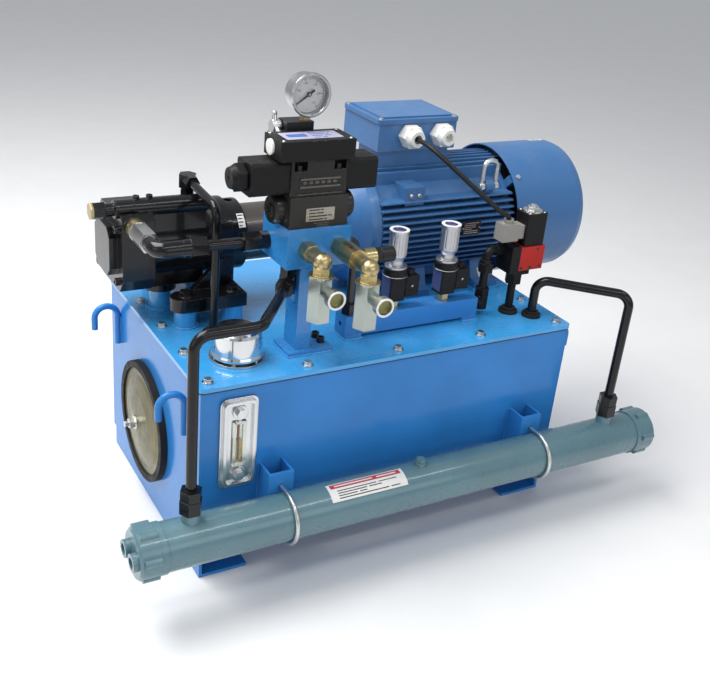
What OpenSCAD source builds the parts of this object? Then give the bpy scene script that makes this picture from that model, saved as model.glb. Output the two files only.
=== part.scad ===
// Hydraulic power unit: oil tank with a motor and pump set on the lid,
// a valve stack, a pressure gauge, and an oil cooler along the front.
// Origin: centre of the foot bolt pattern on the floor. X runs along the
// tank, Y from the cooler side to the back, Z up. Millimetres.

/* [Tank] */
// Length of the tank lid
lid_l = 820; // [780:10:860]
// Depth of the tank lid
lid_w = 520; // [500:10:560]
// Height of the lid top above the floor
lid_z = 405; // [395:1:415]
// Thickness of the lid plate
lid_t = 8; // [6:1:10]
// Sheet thickness of the tank walls
wall = 4.5; // [3:0.5:6]
// Height of the feet under the tank floor
foot_h = 52; // [45:1:60]
// Foot bolt spacing along the tank
bolt_sx = 690; // [680:5:700]
// Foot bolt spacing across the tank
bolt_sy = 430; // [400:5:450]

/* [Motor and pump] */
// Y of the motor and pump axis
axis_y = 88; // [80:1:96]
// Height of the motor and pump axis
axis_z = 545; // [543:1:548]
// Outer radius of the motor fins
fin_r = 134; // [130:1:136]
// Outer radius of the fan cowl
cowl_r = 145; // [140:1:146]
// Drive end of the finned frame
frame_x0 = 62; // [60:1:64]
// Length of the finned frame
frame_len = 330; // [325:1:335]
// Length of the fan cowl
cowl_len = 200; // [190:1:205]
// Running clearance of shafts in their bores, on the radius
run_fit = 0.04; // [0.02:0.01:0.08]

/* [Cooler] */
// Outer diameter of the cooler tube
cooler_d = 89.1; // [88:0.1:90]
// Height of the cooler axis
cooler_z = 153; // [150:1:156]
// Distance of the cooler axis in front of the lid centre
cooler_y = 329.5; // [328:0.5:332]
// Left end of the cooler
cooler_x0 = -551; // [-560:1:-545]
// Right end of the cooler
cooler_x1 = 606; // [600:1:615]

/* [Lines] */
// Outer radius of the cooler lines
line_r = 9.5; // [8:0.5:10]
// Wall of the pipes
line_w = 1.6; // [1.2:0.1:2]
// Centreline radius of the pipe bends
bend_r = 27; // [24:1:30]

/* [Valves] */
// Left face of the manifold
mani_x0 = -225; // [-228:1:-222]
// Length of the manifold
mani_l = 125; // [120:1:128]
// Underside of the manifold
mani_z0 = 575; // [572:1:578]
// Height of the manifold
mani_h = 74; // [72:1:76]
// Radius of the pressure gauge case
gauge_r = 38.5; // [38:0.5:40]

/* [Hidden] */
$fn = 64;

lid_hl = lid_l / 2;
lid_hw = lid_w / 2;
gasket_t = 3;
inset = 4;
shell_x = lid_hl - inset;
shell_y = lid_hw - inset;
shell_top = lid_z - lid_t - gasket_t;
bolt_in = 24;
lid_bolt_xs = [for (i = [-2:2]) i * (lid_hl - bolt_in) / 2];
lid_bolt_ys = [for (i = [-1:1]) i * (lid_hw - bolt_in) / 2];

cleanout_y = 30;
cleanout_z = 185;
cleanout_r = 124;
gauge_x = -335;
gauge_z = 287;
gauge_pitch = 127;
breather = [-301, -163.5];
hook_y = 195;
hook_z = 345;

frame_x1 = frame_x0 + frame_len;
cowl_x0 = frame_x1;
cowl_x1 = cowl_x0 + cowl_len;
shaft_h = axis_z - lid_z - 8;
feet_xs = [160, 338];
box_x0 = 75;
box_x1 = 270;
box_y0 = 34;
box_y1 = 186;
box_z0 = 706;
box_z1 = 775;
gland_xs = [150, 226];
gland_z = 738;
// pin of the lifting link, above the front shoulder of the frame
link_p = [322, -25, 638];
link_pin_r = 6;
link_dy = link_p[1] - axis_y;
link_dz = link_p[2] - axis_z;

foot_z = lid_z + 35;
foot_t = 26;
post_xs = [-342, -247];
post_dy = 96;
suction_x = -360;
port_x = -432;
port_z = 603;
press_y = -107;
case_x = -305;
comp_z = 630;

mani_x1 = mani_x0 + mani_l;
mani_y0 = -190;
mani_y1 = -86;
mani_z1 = mani_z0 + mani_h;
stack_y = -148;
mod_z1 = mani_z1 + 57;
valve_z1 = mod_z1 + 66;
spool_z = mod_z1 + 32;
gauge_p = [-160, -96, 864];
gauge_turn = 0;
riser_p = [-178, -98];
lever_z = 806;
lever_y = -88;
head_x0 = -80;
head_x1 = 229;
head_y = -146;
head_z0 = lid_z + 6;
head_z1 = lid_z + 46;
switch_xs = [33, 152];
unload_x = 318;
unload_y = -159;
unload_in_z = 545;

cap_l_x = -449;
cap_r_x = 487;
cooler_r = cooler_d / 2;
cradle_xs = [-265, 308];

// free cable from the first gland of the terminal box to the plug of the
// unloading valve: centreline points, and its diameter
cable_d = 10;
cable_pts = [[150, 11.8, 738], [150, -12, 738], [150, -22, 738], [150, -34, 737], [151, -46, 735],
    [154, -58, 731], [159, -71, 725], [166, -84, 717], [175, -97, 707], [186, -110, 696],
    [199, -122, 683], [213, -133, 670], [228, -142, 657], [242, -149, 645],
    [254, -154, 635], [264, -157, 628], [273, -159, 624], [279, -159, 620], [282, -159, 614]];

// ---------- helpers ----------
function unit(v) = v / norm(v);
function acosd(u, v) = acos(max(-1, min(1, u * v)));

// puts the children's Z axis along direction d at point p
module along(p, d) {
    u = unit(d);
    translate(p)
        rotate([0, acos(u[2]), atan2(u[1], u[0])]) children();
}

module tube(ro, ri, h) {
    difference() {
        cylinder(r = ro, h = h);
        translate([0, 0, -1]) cylinder(r = ri, h = h + 2);
    }
}

// round pipe through the points, with a bend at each inner point; the
// straights lap the bends a little, and the bends are a hair thinner
lap = 0.5;
seam = 0.03;
module pipe_run(pts, ro, ri, br) {
    n = len(pts) - 1;
    dirs = [for (i = [0:n - 1]) unit(pts[i + 1] - pts[i])];
    trims = [for (i = [0:n]) (i == 0 || i == n) ? 0
        : br * tan(acosd(dirs[i - 1], dirs[i]) / 2)];
    union() {
        for (i = [0:n - 1]) {
            a = i == 0 ? 0 : lap;
            b = i == n - 1 ? 0 : lap;
            along(pts[i] + dirs[i] * (trims[i] - a), dirs[i])
                linear_extrude(norm(pts[i + 1] - pts[i]) - trims[i] - trims[i + 1] + a + b)
                    difference() { circle(r = ro); circle(r = ri); }
        }
        for (i = [1:n - 1]) {
            u = dirs[i - 1];
            v = dirs[i];
            t1 = pts[i] - u * trims[i];
            n1 = unit(v - (u * v) * u);
            c = t1 + br * n1;
            e3 = cross(-n1, u);
            multmatrix([[-n1[0], u[0], e3[0], c[0]],
                [-n1[1], u[1], e3[1], c[1]],
                [-n1[2], u[2], e3[2], c[2]], [0, 0, 0, 1]])
                rotate_extrude(angle = acosd(u, v)) translate([br, 0])
                    difference() { circle(r = ro - seam); circle(r = ri + seam); }
        }
    }
}

// hexagon across flats af
module hex(af, h) { cylinder(d = af / cos(30), h = h, $fn = 6); }

module drilled_hex(af, h, r) {
    difference() {
        hex(af, h);
        translate([0, 0, -1]) cylinder(r = r, h = h + 2);
    }
}

module hex_nut(af, h, bore) {
    difference() {
        intersection() {
            hex(af, h);
            translate([0, 0, -0.01]) cylinder(d1 = af * 1.06 , d2 = af * 1.06 + h * 2, h = h + 0.02);
            translate([0, 0, -0.01]) cylinder(d1 = af * 1.06 + h * 2, d2 = af * 1.06, h = h + 0.02);
        }
        translate([0, 0, -1]) cylinder(d = bore, h = h + 2);
    }
}

// hexagon head bolt, shank along -Z from the seat at z = 0
module hex_bolt(d, l, af, k, washer_r) {
    translate([0, 0, -l]) cylinder(d = d, h = l);
    cylinder(r = washer_r, h = 2);
    translate([0, 0, 2]) hex(af, k);
}

module socket_screw(d, l) {
    translate([0, 0, -l]) cylinder(d = d, h = l + 0.2);
    difference() {
        cylinder(d = d * 1.5, h = d);
        translate([0, 0, d * 0.45]) hex(d * 0.8, d);
    }
}

module rbox(size, r) {
    linear_extrude(size[2]) rsquare([size[0], size[1]], r);
}

// rounded rectangle centred on the origin
module rsquare(s, r) {
    difference() {
        square(s, center = true);
        for (sx = [-1, 1], sy = [-1, 1])
            translate([sx * (s[0] / 2 - r), sy * (s[1] / 2 - r)])
                difference() {
                    translate([sx > 0 ? 0 : -r - 1, sy > 0 ? 0 : -r - 1]) square(r + 1);
                    circle(r = r);
                }
    }
}

module block(p0, p1) {
    translate(p0) cube([p1[0] - p0[0], p1[1] - p0[1], p1[2] - p0[2]]);
}

// places children on the motor axis, with Z along +X, starting at x
module on_axis(x) { translate([x, axis_y, axis_z]) rotate([0, 90, 0]) children(); }
module on_cooler(x) { translate([x, -cooler_y, cooler_z]) rotate([0, 90, 0]) children(); }
module at_lid_bolts() {
    for (x = lid_bolt_xs, s = [-1, 1]) translate([x, s * (lid_hw - bolt_in), 0]) children();
    for (y = lid_bolt_ys, s = [-1, 1]) translate([s * (lid_hl - bolt_in), y, 0]) children();
}

// ---------- tank ----------
// brackets welded to the front of the tank, with a cradle for the cooler
module cooler_brackets() {
    for (x = cradle_xs) difference() {
        translate([x, 0, 0]) union() {
            block([-25, -302, 78], [25, -297, 230]);
            for (s = [-25, 20]) block([s, -300, 78], [s + 5, -shell_y + 0.2, 230]);
        }
        for (s = [-1, 1]) translate([x, -310, cooler_z + s * (cooler_r + 4.5)])
            rotate([-90, 0, 0]) cylinder(d = 9.4, h = 20);
        translate([x, -cooler_y, cooler_z]) rotate([0, 90, 0])
            cylinder(r = cooler_r, h = 80, center = true);
    }
}

module tank_shell() {
    z0 = foot_h;
    color("royalblue") cooler_brackets();
    color("royalblue") difference() {
        union() {
            difference() {
                block([-shell_x, -shell_y, z0], [shell_x, shell_y, shell_top]);
                block([-shell_x + wall, -shell_y + wall, z0 + wall],
                    [shell_x - wall, shell_y - wall, shell_top + 1]);
            }
            difference() {
                block([-shell_x, -shell_y, shell_top - 6], [shell_x, shell_y, shell_top]);
                block([-shell_x + 38, -shell_y + 38, shell_top - 7],
                    [shell_x - 38, shell_y - 38, shell_top + 1]);
            }
            // baffle between the suction and the return side
            block([-120, -shell_y + wall, z0 + wall], [-116, shell_y - wall, 280]);
        }
        translate([0, 0, shell_top]) at_lid_bolts()
            translate([0, 0, -10]) cylinder(d = 8.4, h = 20);
        translate([-shell_x - 1, cleanout_y, cleanout_z]) rotate([0, 90, 0])
            cylinder(r = 95, h = 12);
        for (s = [-1, 1])
            translate([gauge_x, -shell_y - 1, gauge_z + s * gauge_pitch / 2])
                rotate([-90, 0, 0]) cylinder(d = 12.5, h = 12);
        // clearance for the suction pipe and for the return grommet
        translate([suction_x, axis_y, shell_top - 20]) cylinder(r = 22, h = 40);
        translate([354, -192, shell_top - 20]) cylinder(r = 18, h = 40);
        // windows at the foot of the baffle
        for (y = [-150, 150])
            block([-130, y - 30, z0 + wall + 20], [-106, y + 30, z0 + wall + 70]);
    }
}

module tank_lid() {
    color("deepskyblue") difference() {
        union() {
            translate([0, 0, lid_z - lid_t]) rbox([lid_l, lid_w, lid_t], 12);
            for (x = post_xs, s = [-1, 1])
                translate([x, axis_y + s * post_dy, lid_z - 1]) cylinder(r = 21.5, h = 36);
            for (x = feet_xs, s = [-1, 1])
                block([x - 32, axis_y + s * 108 - 28, lid_z - 1],
                    [x + 32, axis_y + s * 108 + 28, lid_z + 8]);
        }
        translate([0, 0, lid_z]) at_lid_bolts()
            translate([0, 0, -10]) cylinder(d = 11, h = 20);
        translate([breather[0], breather[1], lid_z - 10]) cylinder(r = 36, h = 20);
        translate([suction_x, axis_y, lid_z - 10]) cylinder(r = 21.6, h = 20);
        for (p = [[case_x, -60], [unload_x, unload_y], [354, -192]])
            translate([p[0], p[1], lid_z - 10]) cylinder(r = 14, h = 20);
        for (x = post_xs, s = [-1, 1])
            translate([x, axis_y + s * post_dy, lid_z + 4]) cylinder(d = 14, h = 40);
        for (x = feet_xs, s = [-1, 1])
            translate([x, axis_y + s * 108, lid_z - 10]) cylinder(d = 10.5, h = 30);
    }
}

module lid_gasket() {
    color("black") difference() {
        translate([0, 0, shell_top]) rbox([lid_l - 4, lid_w - 4, gasket_t], 10);
        translate([0, 0, shell_top - 1]) rbox([lid_l - 92, lid_w - 92, gasket_t + 2], 10);
        translate([suction_x, axis_y, shell_top - 5]) cylinder(r = 22.5, h = 20);
        translate([354, -192, shell_top - 5]) cylinder(r = 18.5, h = 20);
        translate([0, 0, shell_top]) at_lid_bolts()
            translate([0, 0, -5]) cylinder(d = 11, h = 20);
    }
}

module lid_bolts() {
    color("silver") at_lid_bolts() translate([0, 0, lid_z])
        hex_bolt(8.4, 20, 13, 6, 10.5);
}

module tank_feet() {
    color("royalblue") for (s = [-1, 1]) difference() {
        union() {
            block([s > 0 ? 305 : -402, -shell_y, 0], [s > 0 ? 402 : -305, shell_y, 6]);
            block([s > 0 ? 396 : -402, -shell_y, 0], [s > 0 ? 402 : -396, shell_y, foot_h]);
            for (y = [-120, 120])
                translate([0, y + 3, 0]) rotate([90, 0, 0]) linear_extrude(6)
                    polygon([[s * 396, 6], [s * 330, 6], [s * 360, foot_h], [s * 396, foot_h]]);
        }
        for (y = [-1, 1])
            translate([s * bolt_sx / 2, y * bolt_sy / 2, -1]) cylinder(d = 14, h = 10);
    }
}

module lifting_hooks() {
    r = 6.5;
    color("royalblue") for (sx = [-1, 1], sy = [-1, 1])
        mirror([sx > 0 ? 1 : 0, 0, 0]) translate([-shell_x, sy * hook_y, hook_z]) {
            translate([-r, 0, -62]) cylinder(r = r, h = 62);
            translate([-r - 24, 0, 0]) rotate([90, 0, 0])
                rotate_extrude(angle = 180) translate([24, 0]) circle(r = r);
            translate([-r - 48, 0, -24]) cylinder(r = r, h = 24);
        }
}

module cleanout_cover() {
    x0 = -shell_x - 2;
    color("darkkhaki") translate([x0, cleanout_y, cleanout_z]) rotate([0, -90, 0])
        rotate_extrude() polygon([[6.2, 21.2], [16, 21.2], [30, 19], [60, 16.5], [88, 11],
            [97, 8], [118, 8], [118, 3], [97, 3], [88, 6.5], [60, 12], [30, 14.5], [6.2, 15.4]]);
}

module cleanout_seal() {
    color("black") translate([-shell_x, cleanout_y, cleanout_z]) rotate([0, -90, 0])
        rotate_extrude() polygon([[97, 0], [cleanout_r, 0], [cleanout_r, 14], [110, 14],
            [110, 10], [118.1, 10], [118.1, 5], [97, 5]]);
}

// through bolt with the clamping bar inside the tank
module cleanout_bolt() {
    color("silver") translate([-shell_x, cleanout_y, cleanout_z]) rotate([0, -90, 0]) {
        translate([0, 0, 23.2]) cylinder(r = 14, h = 2.4);
        translate([0, 0, 25.4]) hex(19, 12);
        translate([0, 0, -34]) cylinder(r = 6, h = 80);
        translate([0, 0, -14 - wall]) difference() {
            rbox([250, 36, 14], 8);
            translate([0, 0, -1]) cylinder(r = 5.9, h = 16);
        }
    }
}

module level_gauge_frame() {
    y0 = -shell_y - 14;
    color("silver") difference() {
        union() {
            translate([gauge_x, -shell_y, gauge_z]) rotate([90, 0, 0]) {
                rbox([72, 183, 6], 14);
                translate([0, 0, 5.9]) difference() {
                    rbox([62, 173, 8], 10);
                    translate([0, 0, 1]) rbox([50, 161, 10], 6);
                }
                for (s = [-1, 1]) translate([0, s * gauge_pitch / 2, 5.9]) {
                    cylinder(r = 14, h = 6);
                    translate([0, 0, 5.9]) hex(17, 7);
                    translate([0, 0, -24]) cylinder(d = 12, h = 26);
                }
            }
        }
        translate([gauge_x, -shell_y - 2, gauge_z]) rotate([90, 0, 0])
            rbox([27, 92, 30], 3);
    }
}

module level_gauge_window() {
    color([0.75, 0.8, 0.7, 0.5]) translate([gauge_x, -shell_y - 2.2, gauge_z])
        rotate([90, 0, 0]) difference() {
            rbox([26.4, 91.4, 9], 3);
            translate([0, 0, -1]) rbox([14, 80, 7], 3);
        }
}

module lid_grommets() {
    color("black") for (p = [[case_x, -60, 8], [unload_x, unload_y, 8.5], [354, -192, line_r]])
        translate([p[0], p[1], lid_z]) difference() {
            union() {
                translate([0, 0, -11.9]) cylinder(r = 17, h = 3.8);
                translate([0, 0, -9]) cylinder(r = 13.9, h = 10);
                cylinder(r = 20, h = 6);
                translate([0, 0, 5.9]) cylinder(r = 14.5, h = 6);
            }
            translate([0, 0, -20]) cylinder(r = p[2], h = 50);
        }
}

module breather_base() {
    translate([breather[0], breather[1], lid_z]) {
        color("silver") difference() {
            union() {
                cylinder(r = 51, h = 4);
                cylinder(r = 34, h = 22);
                translate([0, 0, -90]) cylinder(r = 33, h = 91);
            }
            translate([0, 0, -88]) cylinder(r = 31.5, h = 130);
            for (a = [30:60:330]) rotate(a) for (z = [-80:16:-20])
                translate([0, 0, z]) rotate([90, 0, 0]) cylinder(r = 5, h = 50);
        }
        color("silver") for (a = [0:60:300]) rotate(a) translate([42.5, 0, 4])
            cylinder(r = 3.6, h = 2.4);
    }
}

module breather_cap() {
    color("silver") translate([breather[0], breather[1], lid_z + 9])
        rotate_extrude() polygon([[0, 50], [36, 50], [41, 48], [44, 43], [46.5, 8],
            [48.5, 4], [48.5, 0], [46, 0], [44, 6], [42, 42], [39, 45], [34.8, 46],
            [34.8, 16], [33, 16], [33, 46], [0, 46]]);
}

// ---------- cooler ----------
module cooler_shell() {
    x0 = cooler_x0 + 38;
    x1 = cooler_x1 - 38;
    color("cadetblue") difference() {
        union() {
            on_cooler(x0) cylinder(r = cooler_r, h = x1 - x0);
            for (x = [x0, x1 - 12]) on_cooler(x) cylinder(r = cooler_r + 2.4, h = 12);
            for (x = [cap_l_x, cap_r_x])
                translate([x, -cooler_y, cooler_z + cooler_r - 6]) cylinder(r = 17, h = 22);
            // vent boss with its hexagon plug
            translate([19, -cooler_y, cooler_z + cooler_r - 6]) {
                cylinder(r = 12, h = 12);
                translate([0, 0, 11.9]) hex(17, 7);
            }
        }
        on_cooler(x0 - 1) cylinder(r = cooler_r - 4, h = x1 - x0 + 2);
        for (x = [cap_l_x, cap_r_x])
            translate([x, -cooler_y, cooler_z + 20]) cylinder(r = 10.5, h = 80);
        translate([19, -cooler_y, cooler_z + 20]) cylinder(r = 5, h = cooler_r - 18);
    }
}

// dished cap turned from one profile, closed end at z = 0
module cap_body(h) {
    rotate_extrude() polygon([[0, 0], [cooler_r - 2, 0], [cooler_r + 2.4, 4],
        [cooler_r + 2.4, h], [cooler_r - 6, h], [cooler_r - 6, 10], [0, 10]]);
}

// lugs round the open rim, each with its screw hole
module cap_lugs() {
    difference() {
        for (a = [0:60:300]) rotate(a + 20) translate([cooler_r - 1, 0, 7]) cylinder(r = 8, h = 30);
        translate([0, 0, 6]) cylinder(r = cooler_r - 3, h = 34);
        for (a = [0:60:300]) rotate(a + 20) translate([cooler_r + 2.5, 0, 24]) cylinder(d = 4, h = 14);
    }
}

module cooler_caps() {
    color("cadetblue") {
        on_cooler(cooler_x0) {
            difference() {
                union() {
                    cap_body(38);
                    for (s = [-1, 1]) translate([0, s * 21, -10]) cylinder(r = 16.5, h = 13);
                }
                for (s = [-1, 1]) translate([0, s * 21, -20]) cylinder(r = 10.5, h = 34);
            }
            cap_lugs();
        }
        on_cooler(cooler_x1) mirror([0, 0, 1]) {
            cap_body(38);
            cap_lugs();
        }
    }
}

module cooler_tubes() {
    x0 = cooler_x0 + 42;
    x1 = cooler_x1 - 42;
    rr = cooler_r - 4.4;
    color("sienna") {
        for (x = [x0, x1 - 6]) on_cooler(x) cylinder(r = rr, h = 6);
        for (i = [0:4]) on_cooler(x0 + 140 + i * 190) difference() {
            cylinder(r = rr, h = 3);
            translate([i % 2 > 0 ? 21 : -81, -50, -1]) cube([60, 100, 5]);
        }
        for (i = [-2:2], j = [-2:2]) if (abs(i) + abs(j) < 4)
            on_cooler(x0 + 1) translate([i * 14, j * 14, 0]) cylinder(r = 4, h = x1 - x0 - 2);
    }
}

module cooler_ubolts() {
    rr = cooler_r + 4.5;
    color("silver") for (x = cradle_xs) translate([x, -cooler_y, cooler_z]) {
        rotate([90, 0, 90]) rotate(90) rotate_extrude(angle = 180)
            translate([rr, 0]) circle(r = 4);
        for (s = [-1, 1]) {
            translate([0, 0, s * rr]) rotate([-90, 0, 0]) cylinder(r = 4, h = 48);
            translate([0, 32.6, s * rr]) rotate([-90, 0, 0]) hex_nut(13, 7, 7.8);
        }
    }
}

// ---------- pipe lines ----------
module return_line() {
    // manifold to the left end of the cooler
    a = [-211, -170, 541];
    b = [-332, -cooler_y, 546];
    c = [cap_l_x, -cooler_y, 546];
    d = [cap_l_x, -cooler_y, 206];
    u = unit(b - a);
    color("dimgray") {
        difference() {
            union() {
                translate([a[0], a[1], 524]) cylinder(r = 15, h = 32);
                translate([a[0], a[1], 555]) hex(27, mani_z0 - 555);
                translate([a[0], a[1], mani_z0 - 0.5]) cylinder(r = 10, h = 12);
                along(a + u * 8, u) hex(30, 26);
            }
            translate([a[0], a[1], 534]) cylinder(r = 7.5, h = 60);
            along(a, u) cylinder(r = line_r, h = 60);
        }
        pipe_run([a + u * 20, b, c, d], line_r, line_r - line_w, bend_r);
        translate([cap_l_x, -cooler_y, 214]) difference() {
            union() {
                translate([0, 0, 0]) hex(36, 26);
                translate([0, 0, 25.5]) hex(34, 20);
                translate([0, 0, -12]) cylinder(r = 10.3, h = 13);
            }
            translate([0, 0, -20]) cylinder(r = line_r, h = 80);
        }
    }
}

module tank_line() {
    // right end of the cooler back into the tank
    a = [354, -192, 330];
    b = [354, -192, 487];
    c = [cap_r_x, -cooler_y, 490];
    d = [cap_r_x, -cooler_y, 206];
    color("dimgray") {
        pipe_run([a, b, c, d], line_r, line_r - line_w, bend_r);
        translate([cap_r_x, -cooler_y, 214]) difference() {
            union() {
                hex(36, 26);
                translate([0, 0, 25.5]) hex(34, 20);
                translate([0, 0, -12]) cylinder(r = 10.3, h = 13);
            }
            translate([0, 0, -20]) cylinder(r = line_r, h = 80);
        }
    }
}

module pressure_line() {
    color("dimgray") {
        // union at the pump port
        translate([port_x, 11, port_z]) rotate([90, 0, 0]) difference() {
            union() {
                translate([0, 0, -6]) cylinder(r = 10, h = 8);
                cylinder(r = 19, h = 22);
                translate([0, 0, 21.9]) hex(35, 58);
                translate([0, 0, 79]) cylinder(r = 15, h = 16);
            }
            translate([0, 0, -10]) cylinder(r = 8, h = 120);
        }
        pipe_run([[port_x, -82, port_z], [port_x, press_y, port_z],
            [-385, press_y, port_z]], 15, 8, 20);
        difference() {
            union() {
                translate([-386, press_y, port_z]) rotate([0, 90, 0]) cylinder(r = 16, h = 14);
                translate([-373, press_y, port_z]) rotate([0, 90, 0]) hex(33, 30);
                translate([-274, press_y, port_z]) rotate([0, 90, 0]) hex(33, 32);
                translate([-243, press_y, port_z]) rotate([0, 90, 0]) cylinder(r = 16.5, h = 18);
                translate([mani_x0 - 1, press_y, port_z]) rotate([0, 90, 0]) cylinder(r = 10, h = 11);
            }
            translate([-400, press_y, port_z]) rotate([0, 90, 0]) cylinder(r = 8, h = 220);
        }
        translate([-350, press_y, port_z]) rotate([0, 90, 0]) tube(9.5, 8, 90);
    }
}

module drain_line() {
    color("dimgray") {
        difference() {
            union() {
                translate([case_x, axis_y, 606]) cylinder(r = 9, h = 17);
                translate([case_x, axis_y, 622]) hex(24, 22);
                translate([case_x, axis_y, 643.5]) cylinder(r = 9, h = 4);
                translate([case_x, axis_y, 647]) hex(30, 26);
                translate([case_x, axis_y - 30, 662]) rotate([-90, 0, 0]) hex(24, 26);
            }
            translate([case_x, axis_y, 604]) cylinder(r = 5, h = 61);
            translate([case_x, axis_y - 40, 662]) rotate([-90, 0, 0]) cylinder(r = 6, h = 42);
        }
        pipe_run([[case_x, axis_y - 12, 662], [case_x, -60, 655], [case_x, -60, 340]], 8, 6.5, 24);
    }
}

module suction_pipe() {
    color("royalblue") {
        translate([suction_x, axis_y, 200]) tube(21.35, 18, 262);
        translate([suction_x, axis_y, lid_z]) tube(28, 21.35, 7);
    }
    color("silver") translate([suction_x, axis_y, 84]) difference() {
        union() {
            cylinder(r = 34, h = 6);
            translate([0, 0, 5]) cylinder(r = 30, h = 110);
            translate([0, 0, 114]) cylinder(r = 34, h = 8);
            translate([0, 0, 121]) hex(52, 22);
        }
        translate([0, 0, 8]) cylinder(r = 27, h = 104);
        translate([0, 0, 100]) cylinder(r = 21.35, h = 60);
        for (a = [0:45:315], z = [24:18:96])
            translate([0, 0, z]) rotate([90, 0, a]) cylinder(r = 5.5, h = 60);
    }
}

// ---------- motor ----------
module fin_profile() {
    intersection() {
        circle(r = fin_r);
        union() {
            circle(r = 112);
            for (i = [-5.5:5.5]) translate([-150, i * 13 - 1.8]) square([300, 3.6]);
            for (i = [-4.5:4.5]) translate([i * 13 - 1.8, 60]) square([3.6, 100]);
            for (i = [-4.5:4.5]) translate([i * 13 - 1.8, -160]) square([3.6, 100]);
        }
    }
}

module motor_frame() {
    color("steelblue") difference() {
        union() {
            translate([frame_x0, axis_y, axis_z]) rotate([90, 0, 90])
                linear_extrude(frame_len) fin_profile();
            for (x = [frame_x0, frame_x1 - 12]) on_axis(x) cylinder(r = 118, h = 12);
            // feet
            for (x = feet_xs, s = [-1, 1])
                translate([x - 30, axis_y, axis_z - shaft_h]) mirror([0, s > 0 ? 0 : 1, 0])
                    rotate([90, 0, 90]) linear_extrude(60)
                        polygon([[84, 0], [136, 0], [136, 15], [118, 17], [104, 60], [80, 60]]);
            // saddle for the terminal box
            block([box_x0 + 14, 46, axis_z + 96], [box_x1 - 14, 130, box_z0]);
            // earthing pad and lifting boss on the front shoulder
            block([120, -22, 608], [166, 30, 646]);
            translate([link_p[0], -2, 612]) rotate([40, 0, 0]) cylinder(r = 19, h = 26, center = true);
            translate([link_p[0] - 11, axis_y, axis_z]) rotate([90, 0, 90]) linear_extrude(22) {
                translate([link_dy, link_dz]) circle(r = 12);
                rotate(atan2(link_dz, link_dy)) translate([104, -12])
                    square([norm([link_dy, link_dz]) - 104, 24]);
            }
        }
        translate(link_p) rotate([0, 90, 0])
            cylinder(r = link_pin_r + run_fit, h = 40, center = true);
        on_axis(frame_x0 - 1) cylinder(r = 97, h = frame_len + 2);
        translate([(box_x0 + box_x1) / 2, axis_y, axis_z + 80]) cylinder(r = 30, h = 120);
        for (x = feet_xs, s = [-1, 1])
            translate([x, axis_y + s * 108, axis_z - shaft_h - 1]) cylinder(d = 12, h = 30);
    }
    color("silver") for (x = feet_xs, s = [-1, 1])
        translate([x, axis_y + s * 108, axis_z - shaft_h + 15])
            hex_bolt(10.4, 20, 17, 7, 11.5);
}

module motor_shield() {
    color("steelblue") on_axis(0) difference() {
        union() {
            rotate_extrude() polygon([[0, -22], [66, -22], [68, -20], [68, -4], [104, 6],
                [118, 22], [128, 40], [130, 50], [130, frame_x0], [96.9, frame_x0],
                [96.9, frame_x0 + 8], [88, frame_x0 + 8], [88, 30], [70, 12], [40, 4],
                [40, frame_x0 - 12], [0, frame_x0 - 12]]);
        }
        translate([0, 0, -30]) cylinder(r = 21, h = 100);
        // bearing seat
        translate([0, 0, 24]) cylinder(r = 31, h = 60);
    }
    color("silver") on_axis(-2) for (a = [0:60:300]) rotate(a + 15)
        translate([84, 0, 0]) cylinder(r = 5, h = 12);
}

module fan_cowl() {
    t = 2.5;
    color("steelblue") on_axis(cowl_x0) difference() {
        rotate_extrude() polygon([[cowl_r - t, 1], [cowl_r, 1], [cowl_r, cowl_len - 26],
            [cowl_r - 5, cowl_len - 12], [cowl_r - 18, cowl_len], [0, cowl_len],
            [0, cowl_len - t], [cowl_r - 19, cowl_len - t], [cowl_r - 7, cowl_len - 13],
            [cowl_r - t, cowl_len - 27]]);
        // air inlet slots
        for (r = [34:14:104], a = [0:60:300]) rotate(a)
            translate([0, 0, cowl_len - 10]) rotate_extrude(angle = 48)
                translate([r, 0]) square([7, 20]);
        for (a = [45, 135, 225, 315]) rotate(a)
            translate([cowl_r - 8, 0, 16]) rotate([0, 90, 0]) cylinder(d = 6, h = 20);
        // relief over the edge of the lid
        translate([axis_z - lid_z - 2.6, -60, 0]) cube([40, 120, lid_hl - cowl_x0 + 3]);
    }
    color("silver") on_axis(cowl_x0) for (a = [45, 135, 225, 315]) rotate(a) {
        translate([fin_r - 14, 0, 16]) rotate([0, 90, 0])
            cylinder(d = 5.9, h = cowl_r + 14 - fin_r);
        translate([cowl_r, 0, 16]) rotate([0, 90, 0]) cylinder(r = 5, h = 3);
        translate([99, -9, 0]) cube([fin_r - 95, 18, 5]);
        translate([fin_r - 14, -9, 1]) cube([12, 18, 24]);
    }
}

module cooling_fan() {
    color("dimgray") on_axis(cowl_x0 + 46) difference() {
        union() {
            cylinder(r = 26, h = 60);
            cylinder(r = 100, h = 4);
            for (a = [0:30:330]) rotate(a) translate([25, -2, 2]) cube([88, 4, 58]);
        }
        translate([0, 0, -1]) cylinder(r = 19, h = 80);
    }
}

module rotor_shaft() {
    color("silver") {
        on_axis(-112) cylinder(r = 19, h = 105);
        on_axis(-8) cylinder(r = 21 - run_fit, h = 32.2);
        on_axis(24.1) cylinder(r = 25, h = frame_x1 - 31.2);
        on_axis(frame_x1 - 12) cylinder(r = 19 - run_fit, h = 132);
        // rotor core
        on_axis(112) cylinder(r = 60, h = 230);
    }
    color("gainsboro") {
        on_axis(24.2) difference() {
            cylinder(r = 31 - run_fit, h = 22);
            translate([0, 0, -1]) cylinder(r = 24, h = 30);
        }
    }
}

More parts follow.
